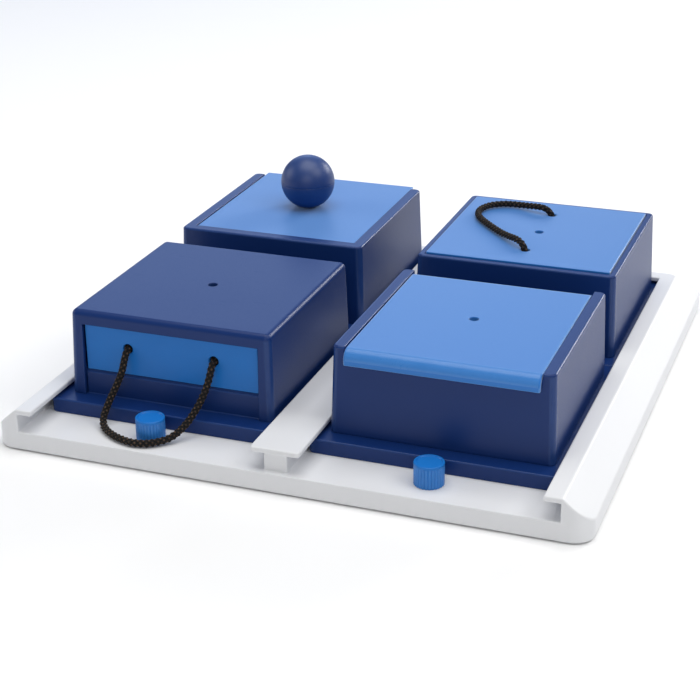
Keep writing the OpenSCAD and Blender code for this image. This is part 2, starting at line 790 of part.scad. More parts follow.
module ball_screw() {
    color(steel_colour) at_box(-1, 1) translate([0, ball_y, slide_z - lid_t])
        screw(lid_t + ball_screw_bite);
}

module lift_box_base() {
    at_box(1, 1) box_base();
}

module lift_box_shell() {
    at_box(1, 1) box_shell(edge_r, rim_z) {
        block([-rim_x, -rim_y, rim_z - over], [rim_x, rim_y, shell_z + over]);
        block([-rebate_x, -rebate_y, lift_seat_z - seat_gap], [rebate_x, rebate_y, shell_z + over]);
    }
}

module lift_box_screws() {
    at_box(1, 1) box_screws();
}

module lift_lid() {
    skirt_x = rim_x - side_gap;
    skirt_y = rim_y - side_gap;
    low = lift_seat_z - skirt_h;
    color(blue_colour) at_box(1, 1) difference() {
        union() {
            block([-rebate_x + side_gap, -rebate_y + side_gap, lift_seat_z],
                  [rebate_x - side_gap, rebate_y - side_gap, lift_z]);
            difference() {
                block([-skirt_x, -skirt_y, low], [skirt_x, skirt_y, lift_seat_z + lift_lid_t / 2]);
                block([-skirt_x + skirt_t, -skirt_y + skirt_t, low - over],
                      [skirt_x - skirt_t, skirt_y - skirt_t, lift_seat_z]);
            }
        }
        translate([0, 0, lift_seat_z - over])
            cylinder(h = lift_lid_t + 2 * over, r = spy_hole_r, $fn = round_fn);
        for (s = [-1, 1]) translate([0, s * lid_hole_y, lift_seat_z - over])
            cylinder(h = lift_lid_t + 2 * over, r = rope_hole_r, $fn = round_fn);
    }
}

module lid_rope() {
    origin = [box_x, back_box_y, lift_seat_z];
    stretch = [1, lid_hole_y / lid_route_reach, 1];
    color(rope_colour) rope(laid(lid_rope_route, origin, stretch), [0, 0, 1], [0, 0, -1], [0, 1, 0]);
}

module lid_rope_knots() {
    color(rope_colour) at_box(1, 1)
        for (s = [-1, 1]) translate([0, s * lid_hole_y, lift_seat_z]) knot();
}

// Stop that keeps the boxes in their lane: a grooved knob on a spigot
module stop_knob() {
    body_h = knob_h - knob_rim_h;
    color(blue_colour) translate([0, knob_y, floor_z + seat_gap]) difference() {
        union() {
            linear_extrude(body_h) difference() {
                circle(knob_r, $fn = round_fn);
                for (i = [1:knob_grooves]) rotate(360 * i / knob_grooves)
                    translate([knob_r, 0]) circle(knob_groove_r, $fn = groove_fn);
            }
            translate([0, 0, body_h]) cylinder(h = knob_rim_h - knob_edge, r = knob_r, $fn = round_fn);
            translate([0, 0, knob_h - knob_edge])
                cylinder(h = knob_edge, r1 = knob_r, r2 = knob_r - knob_edge, $fn = round_fn);
            translate([0, 0, -spigot_len]) cylinder(h = spigot_len + over, r = spigot_r, $fn = round_fn);
        }
        translate([0, 0, knob_h - knob_dish])
            cylinder(h = knob_dish + over, r = knob_r - 2 * knob_edge, $fn = round_fn);
    }
}

module stop_knob_left() {
    translate([-lane_x, 0, 0]) stop_knob();
}

module stop_knob_right() {
    translate([lane_x, 0, 0]) stop_knob();
}

tray();
rubber_feet();
drawer_box_base();
drawer_box_shell();
drawer_box_screws();
drawer();
drawer_rope();
drawer_rope_knots();
flap_box_base();
flap_box_shell();
flap_box_screws();
flap_lid();
slide_box_base();
slide_box_shell();
slide_box_screws();
slide_lid();
ball_lower();
ball_upper();
ball_screw();
lift_box_base();
lift_box_shell();
lift_box_screws();
lift_lid();
lid_rope();
lid_rope_knots();
stop_knob_left();
stop_knob_right();
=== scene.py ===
"""Dog puzzle feeder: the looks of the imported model, laid out as an add-on and run as a script.

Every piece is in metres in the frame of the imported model: X to the right along the front ledge,
Y to the back, Z up from the table.
"""

import math

import bmesh
import bpy
import numpy as np
from mathutils import Matrix, Vector


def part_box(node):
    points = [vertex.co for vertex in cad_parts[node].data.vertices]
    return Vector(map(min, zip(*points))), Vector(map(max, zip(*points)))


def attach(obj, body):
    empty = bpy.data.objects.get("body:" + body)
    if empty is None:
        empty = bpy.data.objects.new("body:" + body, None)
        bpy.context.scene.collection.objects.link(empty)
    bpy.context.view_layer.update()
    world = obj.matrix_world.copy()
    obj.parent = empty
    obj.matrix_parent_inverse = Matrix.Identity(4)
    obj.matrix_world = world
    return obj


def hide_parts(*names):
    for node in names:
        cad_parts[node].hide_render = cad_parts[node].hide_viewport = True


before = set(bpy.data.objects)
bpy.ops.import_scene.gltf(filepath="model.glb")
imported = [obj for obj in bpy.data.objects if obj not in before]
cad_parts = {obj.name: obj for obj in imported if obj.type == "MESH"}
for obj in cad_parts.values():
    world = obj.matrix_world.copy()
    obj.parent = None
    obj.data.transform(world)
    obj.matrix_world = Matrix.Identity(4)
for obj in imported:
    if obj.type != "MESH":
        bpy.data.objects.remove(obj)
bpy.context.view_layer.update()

bl_info = {
    "name": "Dog Puzzle Feeder",
    "version": (1, 0, 0),
    "blender": (4, 5, 0),
    "location": "View3D > Sidebar > Feeder",
    "description": "Models a tray with four treat boxes around a packed frame",
    "category": "Add Mesh",
}

MM = 0.001
OVER = 1 * MM  # how far a cutting block runs past the surface that it opens
CLOSE = 1e-6  # two heights or places that are nearer than this are the same
WELD = 2e-6  # corners of a mesh that are nearer than this become one
FLAT = math.radians(0.4)  # faces that differ less in direction become one
SHARP = math.radians(34)  # edges that bend more are rounded
WIDEST_ROUNDING, SLENDER = 0.9 * MM, 5  # a rounding's faces are narrower, and this much longer than wide
SIDE_GAP, SEAT_GAP = 0.4 * MM, 0.15 * MM  # beside a lid, and under a lid or a stop
SIDES = (-1, 1)
CORNERS = [(-1, -1), (1, -1), (1, 1), (-1, 1)]
ROOT = "tray_assembly"
X, Z = 0, 2


def length(name, description, millimetres):
    """A size that a user can change."""
    return bpy.props.FloatProperty(
        name=name, description=description, default=millimetres * MM, min=0, unit="LENGTH", precision=5
    )


def colour(name, description, rgb):
    """A linear colour that a user can change."""
    return bpy.props.FloatVectorProperty(
        name=name, description=description, default=rgb, size=3, min=0, max=1, subtype="COLOR"
    )


def factor(name, description, value):
    """A share from 0 to 1 that a user can change."""
    return bpy.props.FloatProperty(
        name=name, description=description, default=value, min=0, max=1, subtype="FACTOR"
    )


class TraySizes(bpy.types.PropertyGroup):
    """Sizes of the tray."""

    corner: length("Corner", "Radius of the tray's corners in plan", 11)
    floor: length("Floor", "Height of the lane floor", 10.7)
    rail: length("Rail", "Height of the flat tops of the rails", 23)
    slope: length("Slope", "Width of the sloping flank outside each rail", 14)
    lane_inset: length("Lane inset", "Distance from the outside to a lane's wall", 14.6)
    overhang: length("Overhang", "Reach of the rails over the lanes", 8.2)
    lip: length("Lip", "Thickness of the overhanging lips", 2.8)
    stem: length("Stem", "Width of the divider's stem", 12)
    plate: length("Plate", "Width of the divider's top plate", 25.6)
    plate_setback: length("Plate setback", "Distance from the tray's front to the divider's plate", 2)
    stem_setback: length("Stem setback", "Distance from the tray's front to the divider's stem", 3.2)
    ridge_corner: length("Ridge corner", "Radius of the ridge's corners in plan", 5)
    ridge: length("Ridge", "Radius of the soft ridge at the top of the flanks", 2.6)
    wall: length("Wall", "Thickness of the outer wall", 3)
    deck: length("Deck", "Thickness of the deck", 2.8)
    rib: length("Rib", "Thickness of the ribs under the deck", 2)
    edge: length("Edge", "Rounding of the tray's edges", 0.7)


class BoxSizes(bpy.types.PropertyGroup):
    """Sizes of the treat boxes."""

    draft: length("Draft", "Outward taper of each wall", 1.5)
    wall: length("Wall", "Thickness of the walls", 2.8)
    rim: length("Rim", "Width of the thick rim round the top", 6.25)
    rim_height: length("Rim height", "Height of the thick rim", 9)
    corner: length("Corner", "Radius of the upright edges", 3.2)
    top_edge: length("Top edge", "Rounding of the top edges of an open box", 1.15)
    roof_edge: length("Roof edge", "Rounding of the closed roof's edges", 3.0)
    flange: length("Flange", "Height of the flange that runs in the lane", 7.8)
    flange_corner: length("Flange corner", "Radius of the flange's corners", 3.5)
    flange_edge: length("Flange edge", "Rounding of the flange's top edge", 0.8)
    base_wall: length("Base wall", "Thickness of a base's walls", 2.6)
    plinth_gap: length("Plinth gap", "Gap between a plinth and its shell", 0.35)
    spy_hole: length("Spy hole", "Radius of the small hole in a roof or lid", 2.5)
    edge: length("Edge", "Rounding of all other edges of the boxes", 0.35)


class LidSizes(bpy.types.PropertyGroup):
    """Sizes of the drawer and the lids."""

    plate: length("Plate", "Thickness of the lid plates", 2.6)
    nose: length("Nose", "Outer radius of the flap's nose", 5.5)
    nose_wall: length("Nose wall", "Thickness of the flap's nose", 2.4)
    barrel: length("Barrel", "Radius of the flap's barrel", 3.7)
    drawer_front: length("Drawer front", "Thickness of the drawer's front", 2.6)
    drawer_wall: length("Drawer wall", "Thickness of the drawer's other walls", 2.2)
    lift_plate: length("Lift plate", "Thickness of the lifting lid's plate", 2.9)
    skirt: length("Skirt", "Thickness of the lifting lid's skirt", 2.2)
    edge: length("Edge", "Rounding of the edges of the drawer and the lids", 0.35)
    rope_hole: length("Rope hole", "Radius of the rope holes", 2.6)


class RopeSizes(bpy.types.PropertyGroup):
    """Sizes of the braided ropes."""

    thickness: length("Thickness", "Thickness of a rope over its braid", 4.0)
    lay: length("Lay", "Length in which a strand goes once round", 11.2)
    relief: length("Relief", "Depth of the furrows between strands", 0.7)
    knot: length("Knot", "Radius of a knot", 4.2)


class Finish(bpy.types.PropertyGroup):
    """Colours and surface values."""

    tray: colour("Tray", "Colour of the tray", (0.772, 0.78, 0.80))
    navy: colour("Navy", "Colour of the boxes", (0.0065, 0.031, 0.15))
    ball_navy: colour("Ball navy", "Colour of the ball handle", (0.0072, 0.041, 0.185))
    blue: colour("Blue", "Colour of the drawer and the stops", (0.010, 0.168, 0.552))
    rope: colour("Rope", "Colour of the strands where they dip", (0.002, 0.0018, 0.002))
    # The fleck colour is painted only on strand crests: partly the rope's flecks, partly a painted highlight;
    # the furrows keep the dark colour as painted shade.
    fleck_and_highlight: colour("Fleck and highlight", "Colour of the strands where they rise", (0.12, 0.07, 0.038))
    rubber: colour("Rubber", "Colour of the feet", (0.02, 0.02, 0.022))
    steel: colour("Steel", "Colour of the screws", (0.6, 0.61, 0.63))
    floor: colour("Floor", "Colour of the floor", (0.97, 0.97, 0.97))
    sheen: factor("Plastic roughness", "Roughness of the coloured plastic", 0.36)
    lid_sheen: factor("Lid roughness", "Roughness of the flap and the two lids", 0.44)
    lid_haze: factor("Lid haze", "Pale haze of the flap and the two lids at low angles", 0.5)
    ball_sheen: factor("Ball roughness", "Roughness of the ball handle", 0.43)
    tray_sheen: factor("Tray roughness", "Roughness of the tray's plastic", 0.42)


def sizes(name):
    """The current values of one property group."""
    return getattr(bpy.context.scene, "feeder_" + name)


# ---- hand tools -------------------------------------------------------------------------------


def only(*pieces):
    """Leaves edit mode and selects just these pieces, with the first one active."""
    if bpy.context.mode != "OBJECT":
        bpy.ops.object.mode_set(mode="OBJECT")
    bpy.ops.object.select_all(action="DESELECT")
    for piece in pieces:
        piece.select_set(True)
    bpy.context.view_layer.objects.active = pieces[0] if pieces else None


def settle(piece, name=None):
    """Moves a piece's place, turn and scale into its mesh."""
    only(piece)
    bpy.ops.object.transform_apply(location=True, rotation=True, scale=True)
    if name:
        piece.name = piece.data.name = name
    return piece


def block(low, high, name="block"):
    """A cuboid between two corners."""
    only()
    low, high = Vector(low), Vector(high)
    bpy.ops.mesh.primitive_cube_add(size=1, location=(low + high) / 2, scale=high - low)
    return settle(bpy.context.object, name)


def rod(start, end, radius, sides=64):
    """A cylinder between two points."""
    only()
    start, end = Vector(start), Vector(end)
    run = end - start
    bpy.ops.mesh.primitive_cylinder_add(
        vertices=sides,
        radius=radius,
        depth=run.length,
        location=(start + end) / 2,
        rotation=run.to_track_quat("Z", "Y").to_euler(),
    )
    return settle(bpy.context.object, "rod")


def upright_rod(spot, low_z, high_z, radius, sides=64):
    """An upright cylinder over a place in plan."""
    return rod((spot[0], spot[1], low_z), (spot[0], spot[1], high_z), radius, sides)


def arc(centre, radii, start, end, steps):
    """Points along an arc in the upright plane that looks along X; angles in degrees from +Y."""
    turns = [math.radians(start + (end - start) * i / steps) for i in range(steps + 1)]
    return [
        (centre[0] + radii[0] * math.cos(turn), centre[1] + radii[1] * math.sin(turn)) for turn in turns
    ]


def pick(piece, kind, test):
    """Selects, in edit mode, those faces, edges or vertices of a piece that pass the test."""
    only(piece)
    bpy.ops.object.mode_set(mode="EDIT")
    bpy.ops.mesh.select_mode(type=kind)
    bpy.ops.mesh.select_all(action="DESELECT")
    mesh = bmesh.from_edit_mesh(piece.data)
    for part in {"FACE": mesh.faces, "EDGE": mesh.edges, "VERT": mesh.verts}[kind]:
        if test(part):
            part.select_set(True)
    mesh.select_flush_mode()
    bmesh.update_edit_mesh(piece.data)


def pick_all(piece):
    """Selects, in edit mode, the whole of a piece."""
    pick(piece, "FACE", lambda face: True)


def extrusion(profile, left, right):
    """A closed outline of (y, z) points drawn out along X."""
    mesh = bpy.data.meshes.new("extrusion")
    mesh.from_pydata([(left, y, z) for y, z in profile], [], [tuple(range(len(profile)))])
    piece = bpy.data.objects.new("extrusion", mesh)
    bpy.context.scene.collection.objects.link(piece)
    pick_all(piece)
    bpy.ops.mesh.extrude_region_move(TRANSFORM_OT_translate={"value": (right - left, 0, 0)})
    bpy.ops.mesh.select_all(action="SELECT")
    bpy.ops.mesh.normals_make_consistent(inside=False)
    only(piece)
    return piece


def middle(edge):
    """Middle of an edge."""
    return (edge.verts[0].co + edge.verts[1].co) / 2


def runs_along(edge, axis):
    """Whether an edge runs along an axis, give or take a wall's draft."""
    run = edge.verts[1].co - edge.verts[0].co
    return abs(run[axis]) > 0.99 * run.length


def round_edges(piece, test, radius, steps=5):
    """Rounds the edges that pass the test."""
    pick(piece, "EDGE", test)
    bpy.ops.mesh.bevel(offset=radius, segments=steps, affect="EDGES", clamp_overlap=False)
    only(piece)


def round_upright(piece, radius, steps=8):
    """Rounds the four upright edges of a block."""
    round_edges(piece, lambda edge: runs_along(edge, Z), radius, steps)


def round_level(piece, height, radius, steps=4):
    """Rounds the edges that lie at one height."""
    round_edges(
        piece, lambda edge: all(abs(end.co.z - height) < CLOSE for end in edge.verts), radius, steps
    )


def taper(piece, height, share, centre):
    """Scales what lies at one height, in plan, about a centre."""
    pick(piece, "VERT", lambda vertex: abs(vertex.co.z - height) < CLOSE)
    bpy.ops.transform.resize(value=(share[0], share[1], 1), center_override=(*centre, height))
    only(piece)


def remove(piece):
    """Deletes a piece."""
    only(piece)
    bpy.ops.object.delete()


def combine(piece, tools, how="DIFFERENCE"):
    """Cuts tools from a piece, or adds them, and removes the tools."""
    for tool in tools:
        only(piece)
        bpy.ops.object.modifier_add(type="BOOLEAN")
        modifier = piece.modifiers[-1]
        modifier.object, modifier.operation, modifier.solver = tool, how, "EXACT"
        bpy.ops.object.modifier_apply(modifier=modifier.name)
        remove(tool)
    return piece


def soften(piece, radius, steps=2):
    """Cleans a piece's mesh, rounds its sharp edges and shades flat faces flat, curved ones smooth."""
    only(piece)
    bpy.ops.object.mode_set(mode="EDIT")
    bpy.ops.mesh.select_all(action="SELECT")
    bpy.ops.mesh.remove_doubles(threshold=WELD)
    bpy.ops.mesh.dissolve_degenerate(threshold=WELD)
    bpy.ops.mesh.dissolve_limited(angle_limit=FLAT)
    bpy.ops.mesh.normals_make_consistent(inside=False)
    only(piece)
    bpy.ops.object.shade_smooth_by_angle(angle=SHARP)
    bpy.ops.object.modifier_add(type="BEVEL")
    bevel = piece.modifiers[-1]
    bevel.width, bevel.segments, bevel.limit_method = radius, steps, "ANGLE"
    bevel.angle_limit, bevel.use_clamp_overlap = SHARP, False
    bpy.ops.object.modifier_apply(modifier=bevel.name)
    bpy.ops.object.modifier_add(type="WEIGHTED_NORMAL")
    weighted = piece.modifiers[-1]
    weighted.keep_sharp = True
    bpy.ops.object.modifier_apply(modifier=weighted.name)
    return piece


def copy_to(piece, shift, name):
    """A copy of a piece with its own mesh, moved by a shift."""
    only(piece)
    bpy.ops.object.duplicate(linked=False)
    twin = bpy.context.object
    bpy.ops.transform.translate(value=shift)
    return settle(twin, name)


def mark_roundings(piece):
    """Marks the narrow faces of rounded edges, which the finish paints paler as a highlight and shows
    polished by handling.
    """
    mesh = piece.data
    marks = mesh.attributes.new("rounding", "FLOAT", "FACE")
    for face, mark in zip(mesh.polygons, marks.data):
        corners = [mesh.vertices[index].co for index in face.vertices]
        longest = max((start - end).length for start, end in zip(corners, corners[1:] + corners[:1]))
        width = face.area / longest
        mark.value = float(width < WIDEST_ROUNDING and longest > SLENDER * width)


def place(piece, name, body, slot, material, *nodes):
    """Names a finished piece, gives it its finish and hangs it on its body."""
    settle(piece, name)
    mark_roundings(piece)
    piece.data.materials.clear()
    piece.data.materials.append(material)
    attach(piece, body)
    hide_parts(*nodes)
    return piece


def plan_centre(node):
    """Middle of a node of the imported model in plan, at the height of the table."""
    low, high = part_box(node)
    return Vector(((low.x + high.x) / 2, (low.y + high.y) / 2, 0))


def box_centre(name):
    """Middle of a box in plan."""
    return plan_centre(name + "_box_base")


# ---- finishes -----------------------------------------------------------------------------------


def new_group(name, inputs, outputs):
    """An empty shader node group with named sockets; returns the group and its two end nodes."""
    group = bpy.data.node_groups.new(name, "ShaderNodeTree")
    for socket, kind, default in inputs:
        made = group.interface.new_socket(name=socket, in_out="INPUT", socket_type="NodeSocket" + kind)
        if default is not None:
            made.default_value = default
    for socket, kind in outputs:
        group.interface.new_socket(name=socket, in_out="OUTPUT", socket_type="NodeSocket" + kind)
    return group, group.nodes.new("NodeGroupInput"), group.nodes.new("NodeGroupOutput")


def wire(tree, source, target):
    """Links two sockets."""
    tree.links.new(source, target)


def math_node(tree, operation, first, second=0):
    """A math node fed by sockets or numbers; returns its output."""
    node = tree.nodes.new("ShaderNodeMath")
    node.operation = operation
    for socket, value in zip(node.inputs, (first, second)):
        if isinstance(value, (int, float)):
            socket.default_value = value
        else:
            wire(tree, value, socket)
    return node.outputs[0]


def map_node(tree, value, spread, result):
    """A map range node that carries the spread of a value to a result; returns its output."""
    node = tree.nodes.new("ShaderNodeMapRange")
    wire(tree, value, node.inputs["Value"])
    for socket, limit in zip(("From Min", "From Max", "To Min", "To Max"), (*spread, *result)):
        node.inputs[socket].default_value = limit
    return node.outputs["Result"]


def scale_node(tree, colour_in, share):
    """A colour times a share; returns its output."""
    node = tree.nodes.new("ShaderNodeVectorMath")
    node.operation = "SCALE"
    wire(tree, colour_in, node.inputs[0])
    wire(tree, share, node.inputs["Scale"])
    return node.outputs[0]


def mix_node(tree, share, first, second):
    """A mix of two colours, given as sockets or as numbers, by a socket; returns its output."""
    node = tree.nodes.new("ShaderNodeMix")
    node.data_type = "RGBA"
    wire(tree, share, node.inputs[0])
    for socket, value in zip((node.inputs[6], node.inputs[7]), (first, second)):
        if isinstance(value, bpy.types.NodeSocket):
            wire(tree, value, socket)
        else:
            socket.default_value = (*value, 1)
    return node.outputs[2]


def noise_node(tree, vector, scale, detail=3.0, roughness=0.5):
    """A noise texture; returns its value."""
    node = tree.nodes.new("ShaderNodeTexNoise")
    node.inputs["Detail"].default_value, node.inputs["Roughness"].default_value = detail, roughness
    wire(tree, vector, node.inputs["Vector"])
    if isinstance(scale, bpy.types.NodeSocket):
        wire(tree, scale, node.inputs["Scale"])
    else:
        node.inputs["Scale"].default_value = scale
    return node.outputs["Fac"]


def moulded_group():
    """Moulded plastic: cloudy colour, uneven gloss and a fine spark-eroded grain."""
    group, ends, out = new_group(
        "Moulded Grain",
        [
            ("Vector", "Vector", None),
            ("Colour", "Color", (0.5, 0.5, 0.5, 1)),
            ("Cloudiness", "Float", 0.1),
            ("Roughness", "Float", 0.4),
            ("Grain Size", "Float", 1800.0),
        ],
        [("Colour", "Color"), ("Roughness", "Float"), ("Height", "Float")],
    )
    where, size = ends.outputs["Vector"], ends.outputs["Grain Size"]
    cloud = noise_node(group, where, scale=22.0, detail=4.0)
    fine = noise_node(group, where, scale=size, detail=2.0, roughness=0.6)
    swing = math_node(group, "SUBTRACT", cloud, 0.5)
    level = math_node(group, "ADD", math_node(group, "MULTIPLY", swing, ends.outputs["Cloudiness"]), 1.0)
    wire(group, scale_node(group, ends.outputs["Colour"], level), out.inputs["Colour"])
    gloss = map_node(group, cloud, spread=(0.3, 0.7), result=(-0.008, 0.008))
    speck = map_node(group, fine, spread=(0.3, 0.7), result=(-0.03, 0.03))
    clouded = math_node(group, "ADD", ends.outputs["Roughness"], gloss)
    wire(group, math_node(group, "ADD", clouded, speck), out.inputs["Roughness"])
    wire(group, fine, out.inputs["Height"])
    return group


def edge_highlight_and_wear_group():
    """Two masks: the rounded edges, which the finish paints paler as a highlight and polishes, and fine
    scuffs from handling.
    """
    group, ends, out = new_group(
        "Edge Highlight and Wear",
        [("Vector", "Vector", None), ("Amount", "Float", 0.5)],
        [("Edges", "Float"), ("Scuffs", "Float")],
    )
    rounding = group.nodes.new("ShaderNodeAttribute")
    rounding.attribute_name = "rounding"
    patches = noise_node(group, ends.outputs["Vector"], scale=180.0)
    broken = map_node(group, patches, spread=(0.35, 0.65), result=(0.8, 1.0))
    edges = math_node(group, "MULTIPLY", rounding.outputs["Fac"], broken)
    wire(group, math_node(group, "MULTIPLY", edges, ends.outputs["Amount"]), out.inputs["Edges"])
    stretch = group.nodes.new("ShaderNodeMapping")
    stretch.inputs["Scale"].default_value = (1.0, 9.0, 4.0)
    stretch.inputs["Rotation"].default_value = (0.0, 0.0, 0.5)
    wire(group, ends.outputs["Vector"], stretch.inputs["Vector"])
    streaks = noise_node(group, stretch.outputs[0], scale=60.0, detail=6.0, roughness=0.7)
    lines = map_node(group, streaks, spread=(0.62, 0.7), result=(0.0, 1.0))
    wire(group, math_node(group, "MULTIPLY", lines, ends.outputs["Amount"]), out.inputs["Scuffs"])
    return group


def braid_group():
    """Braided cord: which strands are light, their crests painted light as a highlight and their furrows left
    dark as painted shade, and the fibres along each strand.
    """
    group, ends, out = new_group(
        "Braid",
        [("Strands", "Vector", None), ("Dark", "Color", (0, 0, 0, 1)), ("Light", "Color", (1, 1, 1, 1))],
        [("Colour", "Color"), ("Roughness", "Float"), ("Height", "Float")],
    )

    def calc(operation, first, second=0):
        return math_node(group, operation, first, second)

    apart = group.nodes.new("ShaderNodeSeparateXYZ")
    wire(group, ends.outputs["Strands"], apart.inputs[0])
    one, two = apart.outputs["X"], apart.outputs["Y"]

    # Each cell of the braid shows a strand of one direction; turned is 1 where it is the other one.
    cells = calc("ADD", calc("FLOOR", one), calc("FLOOR", two))
    turned = calc("GREATER_THAN", calc("PINGPONG", calc("MULTIPLY", cells, 0.5), 0.5), 0.25)
    straight = calc("SUBTRACT", 1.0, turned)
    across, along = (
        calc("ADD", calc("MULTIPLY", first, straight), calc("MULTIPLY", second, turned))
        for first, second in ((one, two), (two, one))
    )

    # Fibres run along the strand that shows.
    fibres_across, fibres_along = 9.0, 1.2
    flat = group.nodes.new("ShaderNodeCombineXYZ")
    wire(group, calc("MULTIPLY", across, fibres_across), flat.inputs["X"])
    wire(group, calc("MULTIPLY", along, fibres_along), flat.inputs["Y"])
    fibre = noise_node(group, flat.outputs[0], scale=1.6, roughness=0.6)

    # A strand is light or dark for its whole length, and only its crest gets the light colour, as a painted
    # highlight; the dark colour left in the furrows round it is painted shade.
    seed = group.nodes.new("ShaderNodeTexWhiteNoise")
    seed.noise_dimensions = "1D"
    spacing = 3.7  # keeps the seeds of the two directions apart
    wire(group, calc("ADD", calc("MULTIPLY", calc("FLOOR", across), spacing), turned), seed.inputs["W"])
    chosen = map_node(group, seed.outputs["Value"], spread=(0.3, 0.6), result=(0.45, 1.0))
    crest_highlights = []
    for way in (one, two):
        off_middle = calc("ABSOLUTE", calc("SUBTRACT", calc("FRACT", way), 0.5))
        crest_highlights.append(map_node(group, off_middle, spread=(0.08, 0.3), result=(1.0, 0.0)))
    bright = calc("MULTIPLY", chosen, calc("MULTIPLY", *crest_highlights))
    light = calc("MULTIPLY", bright, map_node(group, fibre, spread=(0.35, 0.6), result=(0.5, 1.0)))

    base = mix_node(group, light, ends.outputs["Dark"], ends.outputs["Light"])
    shade = map_node(group, fibre, spread=(0.25, 0.75), result=(0.5, 1.7))
    wire(group, scale_node(group, base, shade), out.inputs["Colour"])
    rough = map_node(group, fibre, spread=(0.3, 0.7), result=(0.62, 0.88))
    wire(group, rough, out.inputs["Roughness"])
    wire(group, fibre, out.inputs["Height"])
    return group


GROUPS = {"Moulded Grain": moulded_group, "Edge Highlight and Wear": edge_highlight_and_wear_group, "Braid": braid_group}


def place_group(tree, name):
    """A node that shows one of the shared groups, which is built at its first use."""
    node = tree.nodes.new("ShaderNodeGroup")
    node.node_tree = bpy.data.node_groups.get(name) or GROUPS[name]()
    return node


def start_material(name):
    """A node material with its shader; returns the material, its tree and the shader."""
    material = bpy.data.materials.new(name)
    material.use_nodes = True
    tree = material.node_tree
    return material, tree, tree.nodes["Principled BSDF"]


def bump(tree, shader, height, strength, distance):
    """Feeds a height to the shader as fine relief."""
    node = tree.nodes.new("ShaderNodeBump")
    node.inputs["Strength"].default_value, node.inputs["Distance"].default_value = strength, distance
    wire(tree, height, node.inputs["Height"])
    wire(tree, node.outputs["Normal"], shader.inputs["Normal"])


def own_coordinates(tree):
    """The coordinates of the piece that shows a material."""
    return tree.nodes.new("ShaderNodeTexCoord").outputs["Object"]


def grained(tree, where, rgb, roughness, grain=1800.0, cloudiness=0.1):
    """The shared moulded grain with a finish's own values; returns its node."""
    skin = place_group(tree, "Moulded Grain")
    wire(tree, where, skin.inputs["Vector"])
    skin.inputs["Colour"].default_value = (*rgb, 1)
    skin.inputs["Roughness"].default_value = roughness
    skin.inputs["Grain Size"].default_value = grain
    skin.inputs["Cloudiness"].default_value = cloudiness
    return skin


def moulded(
    name, rgb, roughness, edge_highlight, grain=1800.0, relief=0.10, highlight_and_wear=0.35, cloudiness=0.02, ior=1.38
):
    """Moulded plastic, with polished edges painted paler as a highlight, and a few rougher scuffs."""
    found = bpy.data.materials.get(name)
    if found:
        return found
    scuff_roughness, edge_polish, grain_depth = 0.12, 0.3, 0.12 * MM
    material, tree, shader = start_material(name)
    where = own_coordinates(tree)
    skin = grained(tree, where, rgb, roughness, grain, cloudiness)
    marks = place_group(tree, "Edge Highlight and Wear")
    wire(tree, where, marks.inputs["Vector"])
    marks.inputs["Amount"].default_value = highlight_and_wear
    # Rounded edges get the paler edge colour: a painted highlight.
    highlighted_edges = mix_node(tree, marks.outputs["Edges"], skin.outputs["Colour"], edge_highlight)
    wire(tree, highlighted_edges, shader.inputs["Base Color"])
    scuffs = math_node(tree, "MULTIPLY", marks.outputs["Scuffs"], scuff_roughness)
    scuffed = math_node(tree, "ADD", skin.outputs["Roughness"], scuffs)
    polish = math_node(tree, "MULTIPLY", marks.outputs["Edges"], edge_polish)
    wire(tree, math_node(tree, "SUBTRACT", scuffed, polish), shader.inputs["Roughness"])
    shader.inputs["IOR"].default_value = ior
    bump(tree, shader, skin.outputs["Height"], relief, grain_depth)
    return material


NAVY_EDGE_HIGHLIGHT, BLUE_EDGE_HIGHLIGHT = (0.03, 0.07, 0.22), (0.08, 0.27, 0.66)  # the paler colours painted on rounded edges as a highlight


def tray_plastic():
    """Light grey plastic, hardly worn, with its rounded edges painted a little paler as a highlight."""
    tone = sizes("finish")
    return moulded(
        "Tray Plastic", tone.tray, tone.tray_sheen, (0.84, 0.85, 0.87), highlight_and_wear=0.25, cloudiness=0.012, ior=1.3
    )


def navy_plastic():
    """Dark blue plastic of the boxes."""
    tone = sizes("finish")
    return moulded("Navy Plastic", tone.navy, tone.sheen, NAVY_EDGE_HIGHLIGHT, highlight_and_wear=0.5, ior=1.34)


def blue_plastic():
    """Bright blue plastic of the drawer and the stops."""
    tone = sizes("finish")
    return moulded("Blue Plastic", tone.blue, tone.sheen, BLUE_EDGE_HIGHLIGHT, highlight_and_wear=0.5, ior=1.36)


def lid_plastic():
    """Bright blue plastic of the flap and the two lids, with a pale haze at low angles."""
    tone = sizes("finish")
    material = moulded("Lid Plastic", tone.blue, tone.lid_sheen, BLUE_EDGE_HIGHLIGHT, highlight_and_wear=0.5, ior=1.46)
    shader = material.node_tree.nodes["Principled BSDF"]
    shader.inputs["Sheen Weight"].default_value = tone.lid_haze
    shader.inputs["Sheen Roughness"].default_value = 0.45
    shader.inputs["Sheen Tint"].default_value = (1, 1, 0.82, 1)
    return material


def ball_plastic():
    """Dark blue plastic of the ball handle, with brighter highlights than the boxes."""
    tone = sizes("finish")
    return moulded("Ball Plastic", tone.ball_navy, tone.ball_sheen, NAVY_EDGE_HIGHLIGHT, highlight_and_wear=0.3, ior=1.58)


